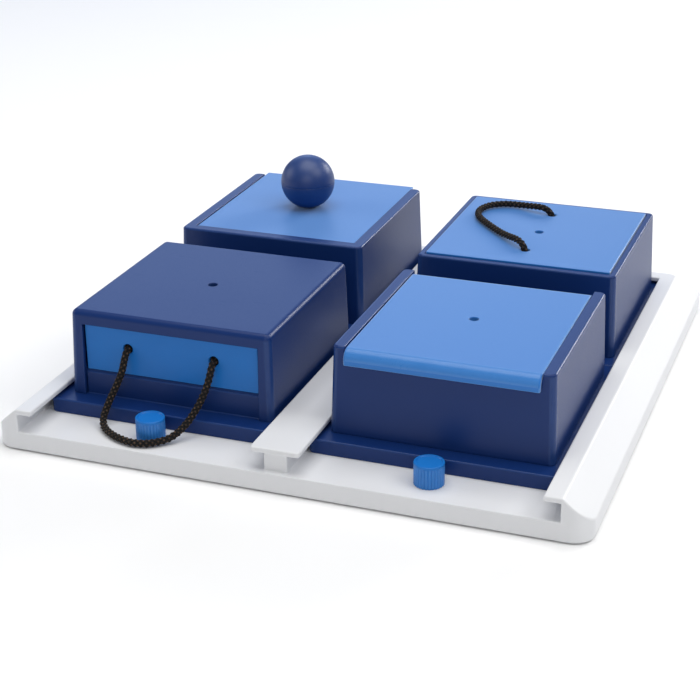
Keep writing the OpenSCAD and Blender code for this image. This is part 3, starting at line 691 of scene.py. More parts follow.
def braided_rope():
    """Dark braided cord with lighter flecks, painted light on the strands' crests as a highlight and left
    dark in the furrows as painted shade.
    """
    found = bpy.data.materials.get("Braided Rope")
    if found:
        return found
    tone = sizes("finish")
    material, tree, shader = start_material("Braided Rope")
    strands = tree.nodes.new("ShaderNodeUVMap")
    strands.uv_map = "Strands"
    braid = place_group(tree, "Braid")
    wire(tree, strands.outputs["UV"], braid.inputs["Strands"])
    braid.inputs["Dark"].default_value = (*tone.rope, 1)
    braid.inputs["Light"].default_value = (*tone.fleck_and_highlight, 1)
    wire(tree, braid.outputs["Colour"], shader.inputs["Base Color"])
    wire(tree, braid.outputs["Roughness"], shader.inputs["Roughness"])
    shader.inputs["Sheen Weight"].default_value = 0.04
    shader.inputs["IOR"].default_value = 1.35
    bump(tree, shader, braid.outputs["Height"], strength=0.5, distance=0.1 * MM)
    return material


def foot_rubber():
    """Dull black rubber, with its rounded edges painted a little paler as a highlight."""
    rubber = sizes("finish").rubber
    return moulded("Foot Rubber", rubber, 0.7, (0.06, 0.06, 0.06), grain=2600.0, relief=0.3, highlight_and_wear=0.2)


def screw_steel():
    """Plated steel."""
    found = bpy.data.materials.get("Screw Steel")
    if found:
        return found
    material, tree, shader = start_material("Screw Steel")
    skin = grained(tree, own_coordinates(tree), sizes("finish").steel, 0.32, grain=5200.0)
    wire(tree, skin.outputs["Colour"], shader.inputs["Base Color"])
    wire(tree, skin.outputs["Roughness"], shader.inputs["Roughness"])
    shader.inputs["Metallic"].default_value = 1.0
    bump(tree, shader, skin.outputs["Height"], strength=0.2, distance=0.05 * MM)
    return material


# ---- stage --------------------------------------------------------------------------------------

CAMERA_PLACE = (0.278872, -0.799943, 0.382982)
CAMERA_TURN, CAMERA_DIP, CAMERA_ROLL = 21.3726, 22.7143, -1.0131  # degrees
CAMERA_SENSOR, CAMERA_LENS, CAMERA_SHIFT = 36, 84.79, (0.0407, -0.0382)
FLOOR_REACH, FLOOR_DEPTH = 6, 0.02
WORLD_STRENGTH = 0.16
LIGHT_AIM = Vector((0, 0, 0.02))
STUDIO_LIGHTS = [  # name, place, width and height, watts, and a tint unless it is white
    ("top softbox", (0, 0.1, 1.9), (1.6, 1.6), 24),
    ("back right softbox", (1.0, 2.0, 0.85), (0.8, 0.6), 17),
    ("back left softbox", (-0.95, 2.2, 1.0), (1.6, 1.0), 7.0, (0.64, 0.88, 1.42)),
    ("left softbox", (-2.1, -0.2, 0.9), (1.4, 1.0), 8.8),
    ("right softbox", (1.5, -0.1, 1.7), (1.2, 1.0), 13),
    ("front softbox", (0.6, -2.2, 1.3), (1.4, 1.0), 10),
]


def set_camera(scene):
    """A camera in front and to the right, which looks down at the feeder."""
    only()
    bpy.ops.object.camera_add(location=CAMERA_PLACE)
    camera = bpy.context.object
    camera.name = "camera"
    camera.data.sensor_width, camera.data.lens = CAMERA_SENSOR, CAMERA_LENS
    camera.data.shift_x, camera.data.shift_y = CAMERA_SHIFT
    camera.data.clip_start, camera.data.clip_end = 0.05, 50
    turn = Matrix.Rotation(math.radians(CAMERA_TURN), 4, "Z")
    dip = Matrix.Rotation(math.radians(90 - CAMERA_DIP), 4, "X")
    roll = Matrix.Rotation(math.radians(CAMERA_ROLL), 4, "Z")
    camera.matrix_world = Matrix.Translation(CAMERA_PLACE) @ turn @ dip @ roll
    scene.camera = camera


def lay_floor():
    """A wide pale floor whose top is the table."""
    floor = block((-FLOOR_REACH, -FLOOR_REACH, -FLOOR_DEPTH), (FLOOR_REACH, FLOOR_REACH, 0), "floor")
    material, tree, shader = start_material("Floor Paint")
    skin = grained(tree, own_coordinates(tree), sizes("finish").floor, 0.9, cloudiness=0.01)
    wire(tree, skin.outputs["Colour"], shader.inputs["Base Color"])
    wire(tree, skin.outputs["Roughness"], shader.inputs["Roughness"])
    shader.inputs["Specular IOR Level"].default_value = 0.1
    floor.data.materials.append(material)


def light_world(scene):
    """A white surround that the camera sees at full strength and the feeder only dimly."""
    world = bpy.data.worlds.new("studio")
    scene.world = world
    world.use_nodes = True
    tree = world.node_tree
    dim, pale = tree.nodes["Background"], tree.nodes.new("ShaderNodeBackground")
    dim.inputs["Strength"].default_value = WORLD_STRENGTH
    for background in (dim, pale):
        background.inputs["Color"].default_value = (1, 1, 1, 1)
    path, mix = tree.nodes.new("ShaderNodeLightPath"), tree.nodes.new("ShaderNodeMixShader")
    wire(tree, path.outputs["Is Camera Ray"], mix.inputs["Fac"])
    wire(tree, dim.outputs[0], mix.inputs[1])
    wire(tree, pale.outputs[0], mix.inputs[2])
    wire(tree, mix.outputs[0], tree.nodes["World Output"].inputs["Surface"])


def area_light(name, place_at, size, power, tint=(1, 1, 1)):
    """A soft rectangular light that looks at the feeder."""
    only()
    bpy.ops.object.light_add(type="AREA", location=place_at)
    light = bpy.context.object
    light.name = light.data.name = name
    light.data.shape, light.data.size, light.data.size_y = "RECTANGLE", *size
    light.data.energy, light.data.color = power, tint
    light.rotation_euler = (LIGHT_AIM - Vector(place_at)).to_track_quat("-Z", "Y").to_euler()


class FEEDER_OT_stage(bpy.types.Operator):
    """Set up the camera, the soft lights and the pale floor"""

    bl_idname = "feeder.stage"
    bl_label = "Stage"

    def execute(self, context):
        set_camera(context.scene)
        lay_floor()
        light_world(context.scene)
        for light in STUDIO_LIGHTS:
            area_light(*light)
        context.scene.view_settings.view_transform = "Standard"
        return {"FINISHED"}


# ---- ropes --------------------------------------------------------------------------------------

# The middle lines of the two ropes from hole to hole, in millimetres.
DRAWER_ROUTE = [
    (-96, -112.2, 46.3), (-96, -114.8, 45.9), (-96, -117.5, 44.3), (-96.1, -119.2, 41.8),
    (-96.5, -121.8, 36.6), (-98.2, -124.5, 30.6), (-100.2, -127.6, 24.8), (-101.6, -131, 19.6),
    (-101.8, -134.6, 15.6), (-99.6, -138.8, 13.3), (-95.4, -142.8, 12.9), (-90, -146.4, 12.9),
    (-84, -149, 12.9), (-77.5, -150.4, 12.9), (-71, -149.3, 12.9), (-65.4, -146, 13.2),
    (-61, -141.6, 14), (-57.8, -136.6, 16.2), (-54.8, -131.8, 20.2), (-52, -128, 25.6),
    (-49.8, -124.7, 31.2), (-48.4, -121.8, 36.8), (-47.8, -119.2, 41.8), (-47.8, -117.5, 44.3),
    (-47.8, -114.8, 45.9), (-47.8, -112.2, 46.3),
]
LID_ROUTE = [
    (71.9, 41, 62.7), (71.5, 41.2, 65.5), (70.1, 42.2, 67.8), (67.4, 44.4, 69.2),
    (63.6, 47.9, 69.2), (58.8, 52.7, 68.4), (53.4, 58.1, 67.9), (47.9, 64, 67.8),
    (42.4, 70.2, 67.8), (37.2, 76.4, 67.8), (33.1, 83, 67.8), (31.1, 90, 67.8),
    (31.5, 96.8, 67.8), (34.3, 102.7, 67.8), (39.2, 106.9, 67.8), (45.2, 109, 67.8),
    (51.6, 108.7, 68), (57.6, 106.8, 68.6), (62.8, 104.9, 69.3), (66.9, 103.8, 69.2),
    (69.8, 103.5, 67.8), (71.5, 103.4, 65.5), (71.9, 103.4, 62.7),
]
ROPE_SIDES, ROPE_STEP, ROPE_STRANDS = 60, 0.2 * MM, 4
CURVE_POINTS = 40  # on each span of a route
PILLOW_ACROSS, PILLOW_ALONG = 0.5, 0.9  # lower values swell a strand sooner beside its edge
KNOT_TILTS = ((0.35, 0.2, 0.0), (1.62, 0.31, 0.85))  # of the two loops, in radians
KNOT_PRESS = 1.8 * MM  # how much of a knot its seat flattens
KNOT_SMOOTH = math.radians(50)


def smooth_line(route, step):
    """Points every step along a smooth curve through a route, and their run from its start, in metres."""
    points = np.array(route) * MM
    padded = np.vstack([2 * points[0] - points[1], points, 2 * points[-1] - points[-2]])
    fine = []
    for before, start, end, after in zip(padded, padded[1:], padded[2:], padded[3:]):
        for t in np.linspace(0, 1, CURVE_POINTS, endpoint=False):
            fine.append(0.5 * (
                2 * start + (end - before) * t
                + (2 * before - 5 * start + 4 * end - after) * t * t
                + (3 * start - before - 3 * end + after) * t ** 3
            ))
    fine = np.array([*fine, points[-1]])
    along = np.concatenate([[0], np.cumsum(np.linalg.norm(np.diff(fine, axis=0), axis=1))])
    marks = np.linspace(0, along[-1], max(2, round(along[-1] / step)))
    return np.stack([np.interp(marks, along, fine[:, axis]) for axis in range(3)], 1), marks


def side_ways(heading, side):
    """Carries a sideways direction along a line of headings without twist."""
    side, sides = np.array(side, float), []
    for way in heading:
        side = side - (side @ way) * way
        side /= np.linalg.norm(side)
        sides.append(side)
    return np.array(sides)


def rope_tube(name, route, side):
    """A braided rope: a fine tube whose surface rises over each strand and sinks between strands.

    Returns the piece, the points of its middle line and its length. Its UV map counts the strands
    of the two directions.
    """
    size = sizes("rope")
    line, marks = smooth_line(route, ROPE_STEP)
    heading = np.gradient(line, axis=0)
    heading /= np.linalg.norm(heading, axis=1)[:, None]
    sides = side_ways(heading, side)
    ups = np.cross(heading, sides)
    angle = np.linspace(0, 2 * np.pi, ROPE_SIDES + 1)
    lean = marks[:, None] / size.lay
    one = ROPE_STRANDS * (angle[None] / (2 * np.pi) + lean)
    two = ROPE_STRANDS * (angle[None] / (2 * np.pi) - lean)
    over = (np.floor(one) + np.floor(two)) % 2 < 0.5
    across, along = np.sin(np.pi * (one % 1)), np.sin(np.pi * (two % 1))
    pillow = np.where(
        over,
        across ** PILLOW_ACROSS * along ** PILLOW_ALONG,
        along ** PILLOW_ACROSS * across ** PILLOW_ALONG,
    )
    radius = size.thickness / 2 - size.relief * (1 - pillow)
    cosines, sines = np.cos(angle)[None, :, None], np.sin(angle)[None, :, None]
    ring = radius[:, :, None] * (cosines * sides[:, None] + sines * ups[:, None])
    points = (line[:, None] + ring)[:, :-1].reshape(-1, 3)
    quads, strands = [], []
    for i in range(len(line) - 1):
        here, there = i * ROPE_SIDES, (i + 1) * ROPE_SIDES
        for k in range(ROPE_SIDES):
            n = (k + 1) % ROPE_SIDES
            quads.append((here + k, here + n, there + n, there + k))
            strands += [
                (one[row, column], two[row, column])
                for row, column in ((i, k), (i, k + 1), (i + 1, k + 1), (i + 1, k))
            ]
    last = (len(line) - 1) * ROPE_SIDES
    caps = [tuple(range(ROPE_SIDES))[::-1], tuple(range(last, last + ROPE_SIDES))]
    strands += [(0.5, 0.5)] * (2 * ROPE_SIDES)
    mesh = bpy.data.meshes.new(name)
    mesh.from_pydata(points.tolist(), [], quads + caps)
    mesh.uv_layers.new(name="Strands").data.foreach_set("uv", np.array(strands, np.float32).ravel())
    mesh.update()
    piece = bpy.data.objects.new(name, mesh)
    bpy.context.scene.collection.objects.link(piece)
    only(piece)
    bpy.ops.object.shade_smooth()
    return piece, line, marks[-1]


def tie_knot(seat, way):
    """A knot of two loops, pressed flat against its seat, on the side that way points to."""
    size = sizes("rope")
    thick = size.thickness / 2
    centre = Vector(seat) + Vector(way) * (size.knot - KNOT_PRESS)
    loops = []
    for tilt in KNOT_TILTS:
        only()
        bpy.ops.mesh.primitive_torus_add(
            major_segments=40, minor_segments=20, major_radius=size.knot - thick, minor_radius=thick,
            location=centre, rotation=tilt,
        )
        loops.append(settle(bpy.context.object))
    knot = combine(loops[0], [loops[1]], "UNION")
    pick_all(knot)
    bpy.ops.mesh.bisect(plane_co=seat, plane_no=way, use_fill=True, clear_inner=True)
    bpy.ops.mesh.select_all(action="SELECT")
    bpy.ops.mesh.delete_loose()
    only(knot)
    return knot


def knots(seats, way):
    """The knots of one rope as a single piece, with strands in its UV map."""
    only(*[tie_knot(seat, way) for seat in seats])
    bpy.ops.object.join()
    piece = bpy.context.object
    bpy.ops.object.shade_smooth_by_angle(angle=KNOT_SMOOTH)
    layer = piece.data.uv_layers.new(name="Strands")
    for loop in piece.data.loops:
        spot = piece.data.vertices[loop.vertex_index].co / sizes("rope").lay * ROPE_STRANDS
        layer.data[loop.index].uv = (spot.x + spot.y + spot.z, spot.x - spot.y + spot.z)
    return piece


class FEEDER_OT_ropes(bpy.types.Operator):
    """Braid the two rope handles and tie their knots"""

    bl_idname = "feeder.ropes"
    bl_label = "Rope handles"

    def execute(self, context):
        for name, body, node, route, side, way in (
            ("drawer_pull", "drawer", "drawer_rope", DRAWER_ROUTE, (1, 0, 0), (0, 1, 0)),
            ("lid_loop", "lifting_lid", "lid_rope", LID_ROUTE, (0, 1, 0), (0, 0, -1)),
        ):
            rope, line, run = rope_tube(name + "_rope", route, side)
            place(rope, name + "_rope", body, "rope", braided_rope(), node)
            ends = [Vector(route[0]) * MM, Vector(route[-1]) * MM]
            tied = knots(ends, way)
            place(tied, name + "_knots", body, "rope", braided_rope(), node + "_knots")
            sizes("rope").thickness
        return {"FINISHED"}


# ---- tray ---------------------------------------------------------------------------------------

PLAN_STEPS, RIDGE_STEPS, CORNER_CUTS = 8, 5, 12  # of the corners in plan, the ridge and the front corners
WALL_FOOT = 1.0 * MM  # rounding below the outer wall
STEM_ROUNDING, PLATE_ROUNDING = 0.8 * MM, 2 * MM
BAYS = 3  # each way, under the deck
LINING = 2.4 * MM  # wall left beside the hollows in the rails and in the divider's stem
HOLLOW_GAP, HOLLOW_END = 2 * MM, 3 * MM  # from a rail's hollow to the outer wall, and at its ends
FOOT_INSET = 19 * MM  # from the tray's sides to the middle of a foot
FOOT_POST, FOOT_POCKET, FOOT_DEPTH = 8 * MM, 6.15 * MM, 2.3 * MM  # two radii and the pocket's depth
SOCKET_POST, SOCKET, SOCKET_FOOT = 7 * MM, 4.05 * MM, 2 * MM  # two radii and the post's lower end


def outline(width, depth, radius, centre_y, height):
    """A flat rounded rectangle."""
    only()
    bpy.ops.mesh.primitive_plane_add(size=1, location=(0, centre_y, height))
    piece = bpy.context.object
    piece.scale = (width, depth, 1)
    settle(piece, "outline")
    pick(piece, "VERT", lambda vertex: True)
    bpy.ops.mesh.bevel(offset=radius, segments=PLAN_STEPS, affect="VERTICES", clamp_overlap=False)
    only(piece)
    return piece


def flank_levels():
    """Inset, height and corner radius of the levels of the tray's outer form, from the foot up."""
    tray = sizes("tray")
    pitch = math.atan2(tray.rail - tray.floor, tray.slope)
    start = tray.slope + tray.ridge * math.tan(pitch / 2)
    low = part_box("tray")[0]
    levels = [
        (WALL_FOOT * (1 - math.sin(turn)), low.z + WALL_FOOT * (1 - math.cos(turn)), tray.corner)
        for turn in (0, math.pi / 6, math.pi / 3, math.pi / 2)
    ]
    levels.append((0.0, tray.floor, tray.corner))
    for i in range(RIDGE_STEPS + 1):
        turn = pitch * (1 - i / RIDGE_STEPS)
        inset = start - tray.ridge * math.sin(turn)
        levels.append((inset, tray.rail - tray.ridge * (1 - math.cos(turn)), tray.ridge_corner))
    return levels


def cut_off(point, out):
    """Cuts what lies beyond a plane from the mesh in edit mode, and closes it there."""
    bpy.ops.mesh.select_all(action="SELECT")
    bpy.ops.mesh.bisect(plane_co=point, plane_no=out, use_fill=True, clear_outer=True)


def flanks(low, high):
    """The tray's outer form: an upright wall, sloping flanks on three sides and a soft ridge."""
    tray = sizes("tray")
    width, depth = high.x - low.x, high.y - low.y
    rings = []
    for inset, height, radius in flank_levels():
        reach = depth - inset + 2 * radius
        rings.append(outline(width - 2 * inset, reach, radius, high.y - inset - reach / 2, height))
    only(*rings)
    bpy.ops.object.join()
    hull = bpy.context.object
    pick_all(hull)
    bpy.ops.mesh.convex_hull()
    cut_off(low, (0, -1, 0))
    for side in SIDES:
        centre = Vector((side * (high.x - tray.corner), low.y + tray.corner, 0))
        reach = tray.corner * math.cos(math.pi / 4 / CORNER_CUTS)
        for i in range(CORNER_CUTS):
            turn = math.pi / 2 * (i + 0.5) / CORNER_CUTS
            out = Vector((side * math.sin(turn), -math.cos(turn), 0))
            cut_off(centre + reach * out, out)
    bpy.ops.mesh.select_all(action="SELECT")
    bpy.ops.mesh.normals_make_consistent(inside=False)
    only(hull)
    return hull


def stands_at(edge, x, y):
    """Whether an edge stands upright at a place in plan."""
    foot, near = edge.verts[0].co, 10 * CLOSE
    return runs_along(edge, Z) and abs(foot.x - x) < near and abs(foot.y - y) < near


def under_tray(low, high):
    """Blocks that hollow the tray from below: bays between ribs, and the divider's stem."""
    tray = sizes("tray")
    inner = high.x - low.x - 2 * tray.wall
    bay = (inner - (BAYS - 1) * tray.rib) / BAYS
    tools = []
    for i in range(BAYS):
        for j in range(BAYS):
            corner = Vector((-inner / 2 + i * (bay + tray.rib), -inner / 2 + j * (bay + tray.rib), 0))
            tools.append(block(corner, corner + Vector((bay, bay, tray.floor - tray.deck))))
            x, y = (i - 1) * inner / 2, (j - 1) * inner / 2
            if x and y:
                round_edges(
                    tools[-1], lambda edge, x=x, y=y: stands_at(edge, x, y), tray.corner - tray.wall
                )
    half = tray.stem / 2 - LINING
    tools.append(block(
        (-half, low.y + tray.corner, 0), (half, high.y - tray.lane_inset - LINING, tray.rail - tray.deck)
    ))
    return tools


def rail_hollows(low, high):
    """Wedges that hollow the three rails from below."""
    tray = sizes("tray")
    rise = (tray.rail - tray.floor) / tray.slope
    near, far = tray.wall + HOLLOW_GAP, tray.lane_inset - LINING
    near_top, far_top = (min(tray.floor + rise * x, tray.rail) - tray.deck for x in (near, far))
    middle_x = low.x + (near + far) / 2
    reach = (high.y - low.y) / 2 - tray.lane_inset - tray.corner - HOLLOW_END
    made = []
    for turn in (0, math.pi, -math.pi / 2):
        wedge = block((low.x + near, -reach, 0), (low.x + far, reach, far_top))
        pick(wedge, "VERT", lambda vertex: vertex.co.z > far_top / 2 and vertex.co.x < middle_x)
        bpy.ops.transform.translate(value=(0, 0, near_top - far_top))
        only(wedge)
        wedge.rotation_euler.z = turn
        made.append(settle(wedge))
    return made


def lane_cuts(low, high):
    """What opens the tray from above: the lanes round the stem, and the mouth round the plate."""
    tray = sizes("tray")
    wall, tip = high.x - tray.lane_inset, high.x - tray.lane_inset - tray.overhang
    lip_low = tray.rail - tray.lip
    stem = block(
        (-tray.stem / 2, low.y + tray.stem_setback, tray.floor - OVER),
        (tray.stem / 2, wall + 9 * OVER, lip_low + OVER),
    )
    round_upright(stem, STEM_ROUNDING, 4)
    plate = block(
        (-tray.plate / 2, low.y + tray.plate_setback, lip_low - 2 * OVER),
        (tray.plate / 2, tip + 9 * OVER, tray.rail + 2 * OVER),
    )
    round_upright(plate, PLATE_ROUNDING, 6)
    lanes = block((-wall, low.y - OVER, tray.floor), (wall, wall, lip_low))
    mouth = block((-tip, low.y - OVER, lip_low - OVER), (tip, tip, tray.rail + OVER))
    return [combine(lanes, [stem]), combine(mouth, [plate])]


class FEEDER_OT_tray(bpy.types.Operator):
    """Model the tray with its rails, divider, sockets and ribbed underside"""

    bl_idname = "feeder.tray"
    bl_label = "Tray"

    def execute(self, context):
        tray = sizes("tray")
        low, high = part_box("tray")
        piece = flanks(low, high)
        combine(piece, lane_cuts(low, high))
        combine(piece, under_tray(low, high) + rail_hollows(low, high))

        foot, stop = high.x - FOOT_INSET, plan_centre("stop_knob_right")
        feet = [(sx * foot, sy * foot) for sx, sy in CORNERS]
        stops = [(side * stop.x, stop.y) for side in SIDES]
        post_top = tray.floor - tray.deck / 2
        posts = [upright_rod(spot, low.z, post_top, FOOT_POST) for spot in feet]
        posts += [upright_rod(spot, SOCKET_FOOT, post_top, SOCKET_POST) for spot in stops]
        holes = [upright_rod(spot, 0, FOOT_DEPTH, FOOT_POCKET) for spot in feet]
        holes += [upright_rod(spot, 0, tray.floor + OVER, SOCKET) for spot in stops]
        combine(piece, posts, "UNION")
        combine(piece, holes)
        soften(piece, tray.edge, 3)
        place(piece, "moulded_tray", ROOT, "tray_plastic", tray_plastic(), "tray")
        return {"FINISHED"}


# ---- boxes --------------------------------------------------------------------------------------

SCREW_HEAD, SCREW_HOLE, PILOT = 2.9 * MM, 1.7 * MM, 1.45 * MM  # radii
SCREW_SIDES, PILOT_DEPTH = 32, 10 * MM
BOSS, NOTCH, BOSS_DROP = 4 * MM, 4.5 * MM, 1.2 * MM  # two half widths, and a boss's top below the plinth's
PLINTH_ROUNDING, ROOM_ROUNDING, PANEL_ROUNDING = 3 * MM, 2.2 * MM, 0.8 * MM
PANEL_GAP, PANEL_STEP = 0.3 * MM, 1.2 * MM  # the drawer's panel, past its sides and before the plinth
PANEL_DEPTH, PANEL_DROP = 4 * MM, 0.75 * MM
GUIDE = 2 * MM
OPENING_GAP, OPENING_TOP = 0.7 * MM, 0.5 * MM  # beside and above the drawer
PIN_HOLE, PIN_REACH = 2.05 * MM, 3.65 * MM  # radius of the flap's pin holes, and their depth in the rim
GROOVE, GROOVE_FRONT = 3 * MM, 0.2 * MM  # height of the sliding lid's grooves, and their reach past its front


def screw_spots():
    """Places of a box's four screws, from the middle of the box."""
    low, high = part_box("flap_box_screws")
    reach = Vector(((high.x - low.x) / 2, (high.y - low.y) / 2)) - Vector((SCREW_HEAD, SCREW_HEAD))
    return [Vector((sx * reach.x, sy * reach.y, 0)) for sx, sy in CORNERS]


def half_at(height):
    """Half the outer width and depth of a shell at a height."""
    low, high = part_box("lift_box_shell")
    box = sizes("box")
    grow = box.draft * (high.z - height) / (high.z - low.z)
    return (high.x - low.x) / 2 - box.draft + grow, (high.y - low.y) / 2 - box.draft + grow


def tapered(low_z, high_z, inset, corner):
    """A block that follows a shell's tapered walls at an inset, round the origin."""
    wide, deep = half_at(low_z)
    piece = block((-wide + inset, -deep + inset, low_z), (wide - inset, deep - inset, high_z))
    top_wide, top_deep = half_at(high_z)
    taper(piece, high_z, ((top_wide - inset) / (wide - inset), (top_deep - inset) / (deep - inset)), (0, 0))
    round_upright(piece, corner, 8)
    return piece


def corner_block(spot, half, reach, low_z, high_z):
    """A square block round a screw's place that runs on to a wall on the same side."""
    wall = math.copysign(reach, spot.x)
    return block(
        (min(spot.x - half, wall), spot.y - half, low_z), (max(spot.x + half, wall), spot.y + half, high_z)
    )


def base_body(extra=()):
    """A base round the origin: hollow flange, plinth, notches for the bosses and screw holes."""
    box = sizes("box")
    low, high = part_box("flap_box_base")
    wide, deep = (high.x - low.x) / 2, (high.y - low.y) / 2
    flange_top = low.z + box.flange
    inset = box.wall + box.plinth_gap
    px, py = (half - inset for half in half_at(high.z))
    piece = block((-wide, -deep, low.z), (wide, deep, flange_top))
    round_upright(piece, box.flange_corner)
    round_level(piece, flange_top, box.flange_edge)
    plinth = block((-px, -py, low.z + OVER), (px, py, high.z))
    round_upright(plinth, PLINTH_ROUNDING)
    combine(piece, [plinth, *extra], "UNION")

    wall = box.base_wall
    under = flange_top - wall
    room = block((-wide + wall, -deep + wall, low.z - OVER), (wide - wall, deep - wall, under))
    round_upright(room, ROOM_ROUNDING)
    well = block((-px + wall, -py + wall, under - OVER), (px - wall, py - wall, high.z - wall))
    kept, holes = [], []
    for spot in screw_spots():
        kept.append(corner_block(spot, NOTCH + wall, px, under - 2 * OVER, high.z))
        holes.append(corner_block(spot, NOTCH, px + OVER, flange_top, high.z + OVER))
        holes.append(upright_rod(spot, under - OVER, flange_top + OVER, SCREW_HOLE, SCREW_SIDES))
    combine(well, kept)
    combine(piece, [room, well])
    return combine(piece, holes)


def drawer_seat():
    """The front panel below the drawer and the two guides beside it, round the origin."""
    box = sizes("box")
    low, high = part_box("drawer_box_base")
    drawer_low, drawer_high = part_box("drawer")
    half = (drawer_high.x - drawer_low.x) / 2
    plinth_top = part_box("flap_box_base")[1].z
    front = -half_at(plinth_top)[1] + box.wall + box.plinth_gap - PANEL_STEP
    opening, panel_top = half + PANEL_GAP, plinth_top - PANEL_DROP
    panel = block(
        (-opening, front, low.z + box.flange - OVER), (opening, front + PANEL_DEPTH, panel_top)
    )

    def at_top_front(edge):
        spot = middle(edge)
        return runs_along(edge, X) and spot.y < front + OVER and spot.z > panel_top - OVER

    round_edges(panel, at_top_front, PANEL_ROUNDING, 4)
    reach = half_at(high.z)[1] - box.rim
    near, far = half + SIDE_GAP, half + SIDE_GAP + GUIDE
    left = block((-far, -reach, plinth_top - OVER), (-near, reach, high.z))
    right = block((near, -reach, plinth_top - OVER), (far, reach, high.z))
    return [panel, left, right]


class FEEDER_OT_bases(bpy.types.Operator):
    """Model the four bases that run in the lanes"""

    bl_idname = "feeder.bases"
    bl_label = "Box bases"

    def execute(self, context):
        self.put(base_body(), ("flap", "slide", "lift"))
        self.put(base_body(drawer_seat()), ("drawer",))
        return {"FINISHED"}

    @staticmethod
    def put(plain, names):
        """Softens a base and hangs a copy of it on the tray at the place of each of its boxes."""
        soften(plain, sizes("box").edge)
        for name in names:
            base = copy_to(plain, box_centre(name), name + "_base")
            place(base, name + "_base_moulding", ROOT, "navy_plastic", navy_plastic(), name + "_box_base")
        remove(plain)


def shell_body(top_radius, cavity_top):
    """A shell round the origin: tapered walls, rounded top edges, screw bosses and a cavity."""
    box = sizes("box")
    low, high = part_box("lift_box_shell")
    piece = tapered(low.z, high.z, 0, box.corner)
    round_level(piece, high.z, top_radius, 5)
    combine(piece, [tapered(low.z - OVER, cavity_top, box.wall, box.corner - box.wall / 2)])
    wall_x = half_at(high.z)[0] - box.wall / 2
    boss_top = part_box("flap_box_base")[1].z - BOSS_DROP
    spots = screw_spots()
    combine(piece, [corner_block(spot, BOSS, wall_x, low.z, boss_top) for spot in spots], "UNION")
    return combine(
        piece, [upright_rod(spot, low.z - OVER, low.z + PILOT_DEPTH, PILOT, SCREW_SIDES) for spot in spots]
    )


def mouth_cut(half_x, low_z, high_z):
    """A block that opens a shell's top and runs on in the planes of the cavity's front and back."""
    wall = sizes("box").wall
    low_y, high_y = half_at(low_z)[1] - wall, half_at(high_z)[1] - wall
    piece = block((-half_x, -low_y, low_z), (half_x, low_y, high_z))
    taper(piece, high_z, (1, high_y / low_y), (0, 0))
    return piece


class FEEDER_OT_shells(bpy.types.Operator):
    """Model the four box shells"""

    bl_idname = "feeder.shells"
    bl_label = "Box shells"

    def execute(self, context):
        box, lid = sizes("box"), sizes("lids")
        low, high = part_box("lift_box_shell")
        top = high.z
        rim_z = top - box.rim_height
        rim_x, rim_y = (half - box.rim for half in half_at(top))
        outside = half_at(top)[1] + box.draft + OVER

        piece = shell_body(box.roof_edge, top - box.wall)
        drawer_low, drawer_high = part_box("drawer")
        opening = (drawer_high.x - drawer_low.x) / 2 + OPENING_GAP
        combine(piece, [
            block((-opening, -outside, low.z - OVER), (opening, -rim_y, drawer_high.z + OPENING_TOP)),
            upright_rod((0, 0), rim_z, top + OVER, box.spy_hole),
        ])
        self.put(piece, "drawer")

        plain = shell_body(box.top_edge, rim_z)
        flap_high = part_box("flap_lid")[1]
        pin = Vector((0, flap_high.y - box_centre("flap").y - lid.barrel, flap_high.z - lid.barrel))
        pin_end = Vector((rim_x + PIN_REACH, 0, 0))
        seat = flap_high.z - lid.plate - SEAT_GAP
        piece = copy_to(plain, (0, 0, 0), "flap_shell")
        combine(piece, [
            mouth_cut(rim_x, rim_z - OVER, top + OVER),
            block((-rim_x, -outside, seat), (rim_x, 0, top + OVER)),
            block((-rim_x, -OVER, pin.z - lid.barrel - SIDE_GAP), (rim_x, outside, top + OVER)),
            rod(pin - pin_end, pin + pin_end, PIN_HOLE),
        ])
        self.put(piece, "flap")

        slide_low, slide_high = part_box("slide_lid")
        front, groove = slide_low.y - box_centre("slide").y - GROOVE_FRONT, slide_low.z - SEAT_GAP
        groove_x = (slide_high.x - slide_low.x) / 2 + SIDE_GAP
        piece = copy_to(plain, (0, 0, 0), "slide_shell")
        kept = block((-outside, -outside, low.z), (outside, front, top + 2 * OVER))
        combine(piece, [
            combine(mouth_cut(rim_x, rim_z - OVER, top + OVER), [kept]),
            block((-rim_x, 0, groove), (rim_x, outside, top + OVER)),
            block((-groove_x, front, groove), (groove_x, outside, groove + GROOVE)),
        ])
        self.put(piece, "slide")

        lift_low, lift_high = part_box("lift_lid")
        rebate = (lift_high.x - lift_low.x) / 2 + SIDE_GAP
        seat = lift_high.z - lid.lift_plate - SEAT_GAP
        combine(plain, [
            block((-rim_x, -rim_y, rim_z - OVER), (rim_x, rim_y, top + OVER)),
            block((-rebate, -rebate, seat), (rebate, rebate, top + OVER)),
        ])
        self.put(plain, "lift")
        return {"FINISHED"}

    @staticmethod
    def put(piece, name):
        """Softens a shell, moves it to its place and hangs it on the tray."""
        soften(piece, sizes("box").edge)
        only(piece)
        bpy.ops.transform.translate(value=box_centre(name))
        place(piece, name + "_shell_moulding", ROOT, "navy_plastic", navy_plastic(), name + "_box_shell")


# ---- drawer, lids, ball and stops -----------------------------------------------------------------

SIDE_DROP, SIDE_SETBACK = 4.6 * MM, 1.5 * MM  # of the drawer's side walls, below and behind its front
ROPE_HOLE_SIDES = 48
FLAP_ROUNDING, LIFT_ROUNDING = 0.9 * MM, 1.0 * MM
FLAP_RIB, FLAP_RIB_DEPTH = 1.8 * MM, 3.6 * MM
FLAP_RIB_SIDE, FLAP_RIB_FRONT, FLAP_RIB_END = 3 * MM, 9 * MM, 1 * MM  # from the sides, nose and barrel
FLAP_PIN, BALL_SCREW_HOLE = 2 * MM, 1.7 * MM  # radii
TONGUE = 5 * MM


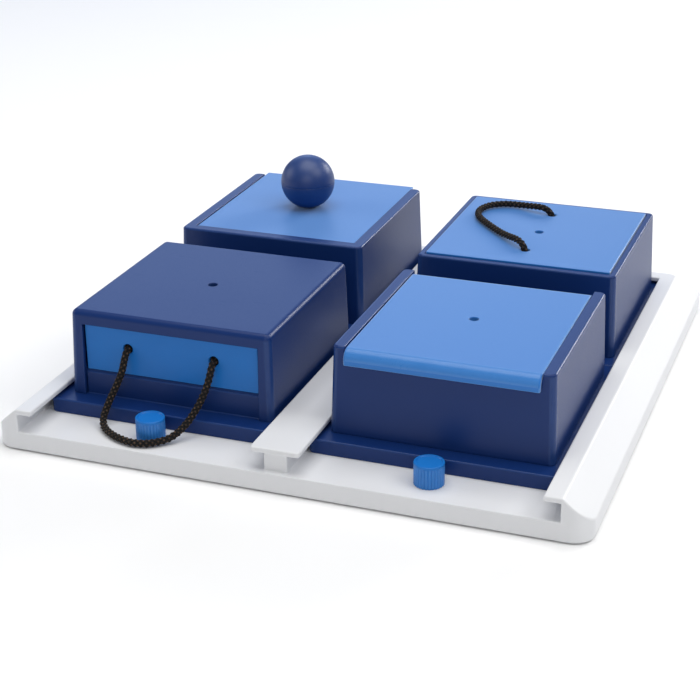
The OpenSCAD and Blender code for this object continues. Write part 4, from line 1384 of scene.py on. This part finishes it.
class FEEDER_OT_drawer(bpy.types.Operator):
    """Model the drawer"""

    bl_idname = "feeder.drawer"
    bl_label = "Drawer"

    def execute(self, context):
        lid = sizes("lids")
        low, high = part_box("drawer")
        inner = low.y + lid.drawer_front
        side_top, step = high.z - SIDE_DROP, inner + SIDE_SETBACK
        wall = lid.drawer_wall
        piece = block(low, high)
        tools = [
            block((low.x + wall, inner, low.z + wall), (high.x - wall, high.y - wall, high.z + OVER)),
            block((low.x - OVER, step, side_top), (high.x + OVER, high.y + OVER, high.z + OVER)),
        ]
        for end in (DRAWER_ROUTE[0], DRAWER_ROUTE[-1]):
            spot = Vector(end) * MM
            front, back = (spot.x, low.y - OVER, spot.z), (spot.x, inner + OVER, spot.z)
            tools.append(rod(front, back, lid.rope_hole, ROPE_HOLE_SIDES))
        combine(piece, tools)
        soften(piece, lid.edge)
        place(piece, "sliding_drawer", "drawer", "blue_plastic", blue_plastic(), "drawer")
        return {"FINISHED"}


def flap_body(low, high, left, right, pin):
    """The flap's plate with its rolled nose and barrel, drawn out from left to right."""
    lid = sizes("lids")
    bend, under = (low.y + lid.nose, high.z - lid.nose), high.z - lid.plate
    inside = (lid.nose - lid.nose_wall, lid.nose - lid.plate)
    meet = math.degrees(math.asin((under - pin.z) / lid.barrel))
    piece = extrusion([
        (low.y, low.z),
        *arc(bend, (lid.nose, lid.nose), 180, 90, 14),
        *arc((pin.y, pin.z), (lid.barrel, lid.barrel), 90, -180 - meet, 32),
        *arc(bend, inside, 90, 180, 10),
        (low.y + lid.nose_wall, low.z),
    ], left, right)

    def at_outer_end(edge):
        spot = middle(edge)
        at_end = min(abs(spot.x - left), abs(spot.x - right)) < CLOSE
        level = abs(spot.z - high.z) < CLOSE and spot.y < pin.y
        upright = abs(spot.y - low.y) < CLOSE
        out = math.dist((spot.y, spot.z), bend)
        bent = spot.y < bend[0] and spot.z > bend[1] and out > lid.nose - 0.2 * MM
        return at_end and (level or upright or bent)

    round_edges(piece, at_outer_end, FLAP_ROUNDING, 4)
    return piece


class FEEDER_OT_lids(bpy.types.Operator):
    """Model the hinged flap, the sliding lid and the lifting lid"""

    bl_idname = "feeder.lids"
    bl_label = "Lids"

    def execute(self, context):
        plate_x = half_at(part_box("lift_box_shell")[1].z)[0] - sizes("box").rim - SIDE_GAP
        self.hinged_flap(plate_x)
        self.grooved_lid(plate_x)
        self.lifting_lid(plate_x)
        return {"FINISHED"}

    @staticmethod
    def hinged_flap(plate_x):
        """The flap, with two ribs beneath, its pins and its small hole."""
        lid = sizes("lids")
        low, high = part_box("flap_lid")
        centre = box_centre("flap")
        pin = Vector((centre.x, high.y - lid.barrel, high.z - lid.barrel))
        piece = flap_body(low, high, centre.x - plate_x, centre.x + plate_x, pin)
        rib_top, rib_low = high.z - lid.plate / 2, high.z - lid.plate - FLAP_RIB_DEPTH
        front, back = low.y + FLAP_RIB_FRONT, pin.y - lid.barrel - FLAP_RIB_END
        ribs = []
        for side in SIDES:
            rib_x = centre.x + side * (plate_x - FLAP_RIB_SIDE)
            ribs.append(block(
                (rib_x - FLAP_RIB / 2, front, rib_low), (rib_x + FLAP_RIB / 2, back, rib_top)
            ))
        reach = Vector(((high.x - low.x) / 2, 0, 0))
        combine(piece, [*ribs, rod(pin - reach, pin + reach, FLAP_PIN)], "UNION")
        hole = upright_rod(centre, high.z - lid.plate - OVER, high.z + OVER, sizes("box").spy_hole)
        combine(piece, [hole])
        soften(piece, lid.edge)
        place(piece, "hinged_flap", "flap", "blue_plastic", lid_plastic(), "flap_lid")

    @staticmethod
    def grooved_lid(plate_x):
        """The sliding lid, with a tongue on each side and a hole for the ball's screw."""
        lid = sizes("lids")
        low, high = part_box("slide_lid")
        centre = box_centre("slide")
        under = high.z - lid.plate
        piece = block((centre.x - plate_x, low.y, under), (centre.x + plate_x, high.y, high.z))
        top, far = under + SEAT_GAP, (high.x - low.x) / 2
        near = far - TONGUE
        combine(piece, [
            block((centre.x - far, low.y, low.z), (centre.x - near, high.y, top)),
            block((centre.x + near, low.y, low.z), (centre.x + far, high.y, top)),
        ], "UNION")
        ball = plan_centre("ball_lower")
        combine(piece, [upright_rod(ball, low.z - OVER, high.z + OVER, BALL_SCREW_HOLE)])
        soften(piece, lid.edge)
        place(piece, "grooved_lid", "sliding_lid", "blue_plastic", lid_plastic(), "slide_lid")

    @staticmethod
    def lifting_lid(plate_x):
        """The lifting lid, with a skirt beneath, its small hole and two rope holes."""
        lid = sizes("lids")
        low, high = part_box("lift_lid")
        centre = box_centre("lift")
        seat = high.z - lid.lift_plate

        def square(half, low_z, high_z):
            return block(
                (centre.x - half, centre.y - half, low_z), (centre.x + half, centre.y + half, high_z)
            )

        piece = block((low.x, low.y, seat), high)
        round_upright(piece, LIFT_ROUNDING, 4)
        skirt = square(plate_x, low.z, seat + lid.lift_plate / 2)
        combine(skirt, [square(plate_x - lid.skirt, low.z - OVER, seat)])
        combine(piece, [skirt], "UNION")
        tools = [upright_rod(centre, seat - OVER, high.z + OVER, sizes("box").spy_hole)]
        for end in (LID_ROUTE[0], LID_ROUTE[-1]):
            tools.append(upright_rod(Vector(end) * MM, seat - OVER, high.z + OVER, lid.rope_hole))
        combine(piece, tools)
        soften(piece, lid.edge)
        place(piece, "lifting_lid_moulding", "lifting_lid", "blue_plastic", lid_plastic(), "lift_lid")


BALL_WALL, BALL_LINING = 2.2 * MM, 1.4 * MM  # of both halves, and what the upper half has besides
BALL_SEAM, BALL_SMOOTH = 0.25 * MM, math.radians(40)
LIP, LIP_GAP, LIP_REACH = 1.0 * MM, 0.4 * MM, 2 * MM  # the upper half's ring inside the lower one
BALL_POST, BALL_POST_TOP = 3.6 * MM, 12 * MM  # radius, and height above the ball's flat
BALL_PILOT, BALL_PILOT_TOP = 1.45 * MM, 10.5 * MM  # the same for the screw's hole


def ball_shell(centre, radius, thickness, upper, flat=None):
    """A hollow half of the ball, cut off level at a height if one is given."""
    up = (0, 0, 1)
    only()
    bpy.ops.mesh.primitive_uv_sphere_add(segments=96, ring_count=64, radius=radius, location=centre)
    piece = settle(bpy.context.object)
    pick_all(piece)
    bpy.ops.mesh.bisect(plane_co=centre, plane_no=up, clear_inner=upper, clear_outer=not upper)
    if flat is not None:
        pick_all(piece)
        bpy.ops.mesh.bisect(
            plane_co=(centre.x, centre.y, flat), plane_no=up, use_fill=True, clear_inner=True
        )
    only(piece)
    bpy.ops.object.modifier_add(type="SOLIDIFY")
    wall = piece.modifiers[-1]
    wall.thickness, wall.offset = thickness, -1
    bpy.ops.object.modifier_apply(modifier=wall.name)

    def at_seam(edge):
        spot = middle(edge)
        return abs(spot.z - centre.z) < CLOSE and (spot.xy - centre.xy).length > radius - 0.5 * MM

    round_edges(piece, at_seam, BALL_SEAM, 2)
    return piece


class FEEDER_OT_ball(bpy.types.Operator):
    """Model the two halves of the ball handle"""

    bl_idname = "feeder.ball"
    bl_label = "Ball handle"

    def execute(self, context):
        low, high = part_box("ball_upper")
        radius = (high.x - low.x) / 2
        flat, seam = (corner.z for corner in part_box("ball_lower"))
        centre = plan_centre("ball_upper")
        centre.z = seam

        bottom = ball_shell(centre, radius, BALL_WALL, upper=False, flat=flat)
        combine(bottom, [upright_rod(centre, flat + OVER, flat + BALL_POST_TOP, BALL_POST)], "UNION")
        pilot = upright_rod(centre, flat - OVER, flat + BALL_PILOT_TOP, BALL_PILOT, SCREW_SIDES)
        self.put(combine(bottom, [pilot]), "ball_bottom_half", "ball_lower")

        top = ball_shell(centre, radius, BALL_WALL + BALL_LINING, upper=True)
        reach, deep = radius - BALL_WALL - LIP_GAP, Vector((0, 0, LIP_REACH))
        ring = rod(centre - deep, centre + deep, reach)
        combine(ring, [rod(centre - 2 * deep, centre + 2 * deep, reach - LIP)])
        self.put(combine(top, [ring], "UNION"), "ball_top_half", "ball_upper")
        return {"FINISHED"}

    @staticmethod
    def put(piece, name, node):
        """Shades a half smooth and hangs it on the sliding lid."""
        only(piece)
        bpy.ops.object.shade_smooth_by_angle(angle=BALL_SMOOTH)
        place(piece, name, "sliding_lid", "navy_plastic", ball_plastic(), node)


GROOVES, GROOVE_SIDES = 28, 8  # round a stop, and sides of the stop to each groove
GROOVE_FLOOR, GROOVE_FLANK = 0.952, 0.972  # shares of the radius
CAP_HEIGHT, CAP_OVERLAP, CAP_ROUNDING = 1.3 * MM, 0.05 * MM, 0.5 * MM
CAP_BORDER, CAP_SLOPE, CAP_DISH = 0.5 * MM, 0.4 * MM, 0.5 * MM  # widths, and the depth of the cap's dish
STOP_SPIGOT, STOP_SMOOTH = 4 * MM, math.radians(30)


class FEEDER_OT_stops(bpy.types.Operator):
    """Model the two grooved stop knobs"""

    bl_idname = "feeder.stops"
    bl_label = "Stop knobs"

    def execute(self, context):
        low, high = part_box("stop_knob_left")
        centre = plan_centre("stop_knob_left")
        radius = (high.x - low.x) / 2
        foot, rim = sizes("tray").floor + SEAT_GAP, high.z - CAP_HEIGHT
        sides = GROOVES * GROOVE_SIDES
        piece = upright_rod(centre, foot, rim, radius, sides)

        def past_groove(vertex):
            """How many sides a corner of the stop is past the middle of a groove."""
            turn = math.atan2(vertex.co.y - centre.y, vertex.co.x - centre.x) / (2 * math.pi)
            return round(turn * sides) % GROOVE_SIDES

        for steps, share in (((0,), GROOVE_FLOOR), ((1, GROOVE_SIDES - 1), GROOVE_FLANK)):
            pick(piece, "VERT", lambda vertex: past_groove(vertex) in steps)
            bpy.ops.transform.resize(value=(share, share, 1), center_override=(*centre.xy, rim))
            only(piece)
        cap = upright_rod(centre, rim - CAP_OVERLAP, high.z, radius, sides)
        round_level(cap, high.z, CAP_ROUNDING, 4)
        pick(cap, "FACE", lambda face: face.normal.z > 0.99 and face.calc_area() > radius * radius)
        bpy.ops.mesh.inset(thickness=CAP_BORDER)
        bpy.ops.mesh.inset(thickness=CAP_SLOPE, depth=-CAP_DISH)
        only(cap)
        combine(piece, [cap, upright_rod(centre, low.z, foot + OVER, STOP_SPIGOT)], "UNION")
        only(piece)
        bpy.ops.object.shade_smooth_by_angle(angle=STOP_SMOOTH)
        shift = plan_centre("stop_knob_right").x - centre.x
        right = copy_to(piece, (shift, 0, 0), "right")
        place(piece, "left_stop_knob", "left_stop", "blue_plastic", blue_plastic(), "stop_knob_left")
        place(right, "right_stop_knob", "right_stop", "blue_plastic", blue_plastic(), "stop_knob_right")
        return {"FINISHED"}


class FEEDER_OT_hardware(bpy.types.Operator):
    """Finish the rubber feet and the hidden screws"""

    bl_idname = "feeder.hardware"
    bl_label = "Feet and screws"

    def execute(self, context):
        for name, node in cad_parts.items():
            if name == "rubber_feet" or "screw" in name:
                node.data.materials.clear()
                node.data.materials.append(foot_rubber() if name == "rubber_feet" else screw_steel())
        return {"FINISHED"}


STEPS = [
    FEEDER_OT_stage,
    FEEDER_OT_ropes,
    FEEDER_OT_tray,
    FEEDER_OT_bases,
    FEEDER_OT_shells,
    FEEDER_OT_drawer,
    FEEDER_OT_lids,
    FEEDER_OT_ball,
    FEEDER_OT_stops,
    FEEDER_OT_hardware,
]
GROUPS_OF_VALUES = {
    "tray": TraySizes,
    "box": BoxSizes,
    "lids": LidSizes,
    "rope": RopeSizes,
    "finish": Finish,
}


class FEEDER_PT_panel(bpy.types.Panel):
    """Lists the steps and the values"""

    bl_idname = "FEEDER_PT_panel"
    bl_label = "Dog Puzzle Feeder"
    bl_space_type = "VIEW_3D"
    bl_region_type = "UI"
    bl_category = "Feeder"

    def draw(self, context):
        for step in STEPS:
            self.layout.operator(step.bl_idname)
        for name, kind in GROUPS_OF_VALUES.items():
            box = self.layout.box()
            box.label(text=name.capitalize())
            for value in kind.__annotations__:
                box.prop(getattr(context.scene, "feeder_" + name), value)


def register():
    for kind in [*GROUPS_OF_VALUES.values(), *STEPS, FEEDER_PT_panel]:
        bpy.utils.register_class(kind)
    for name, kind in GROUPS_OF_VALUES.items():
        setattr(bpy.types.Scene, "feeder_" + name, bpy.props.PointerProperty(type=kind))


def unregister():
    for name in GROUPS_OF_VALUES:
        delattr(bpy.types.Scene, "feeder_" + name)
    for kind in [FEEDER_PT_panel, *reversed(STEPS), *GROUPS_OF_VALUES.values()]:
        bpy.utils.unregister_class(kind)


def main():
    """Makes everything."""
    register()
    for step in STEPS:
        tab, name = step.bl_idname.split(".")
        getattr(getattr(bpy.ops, tab), name)()


if __name__ == "__main__":
    main()
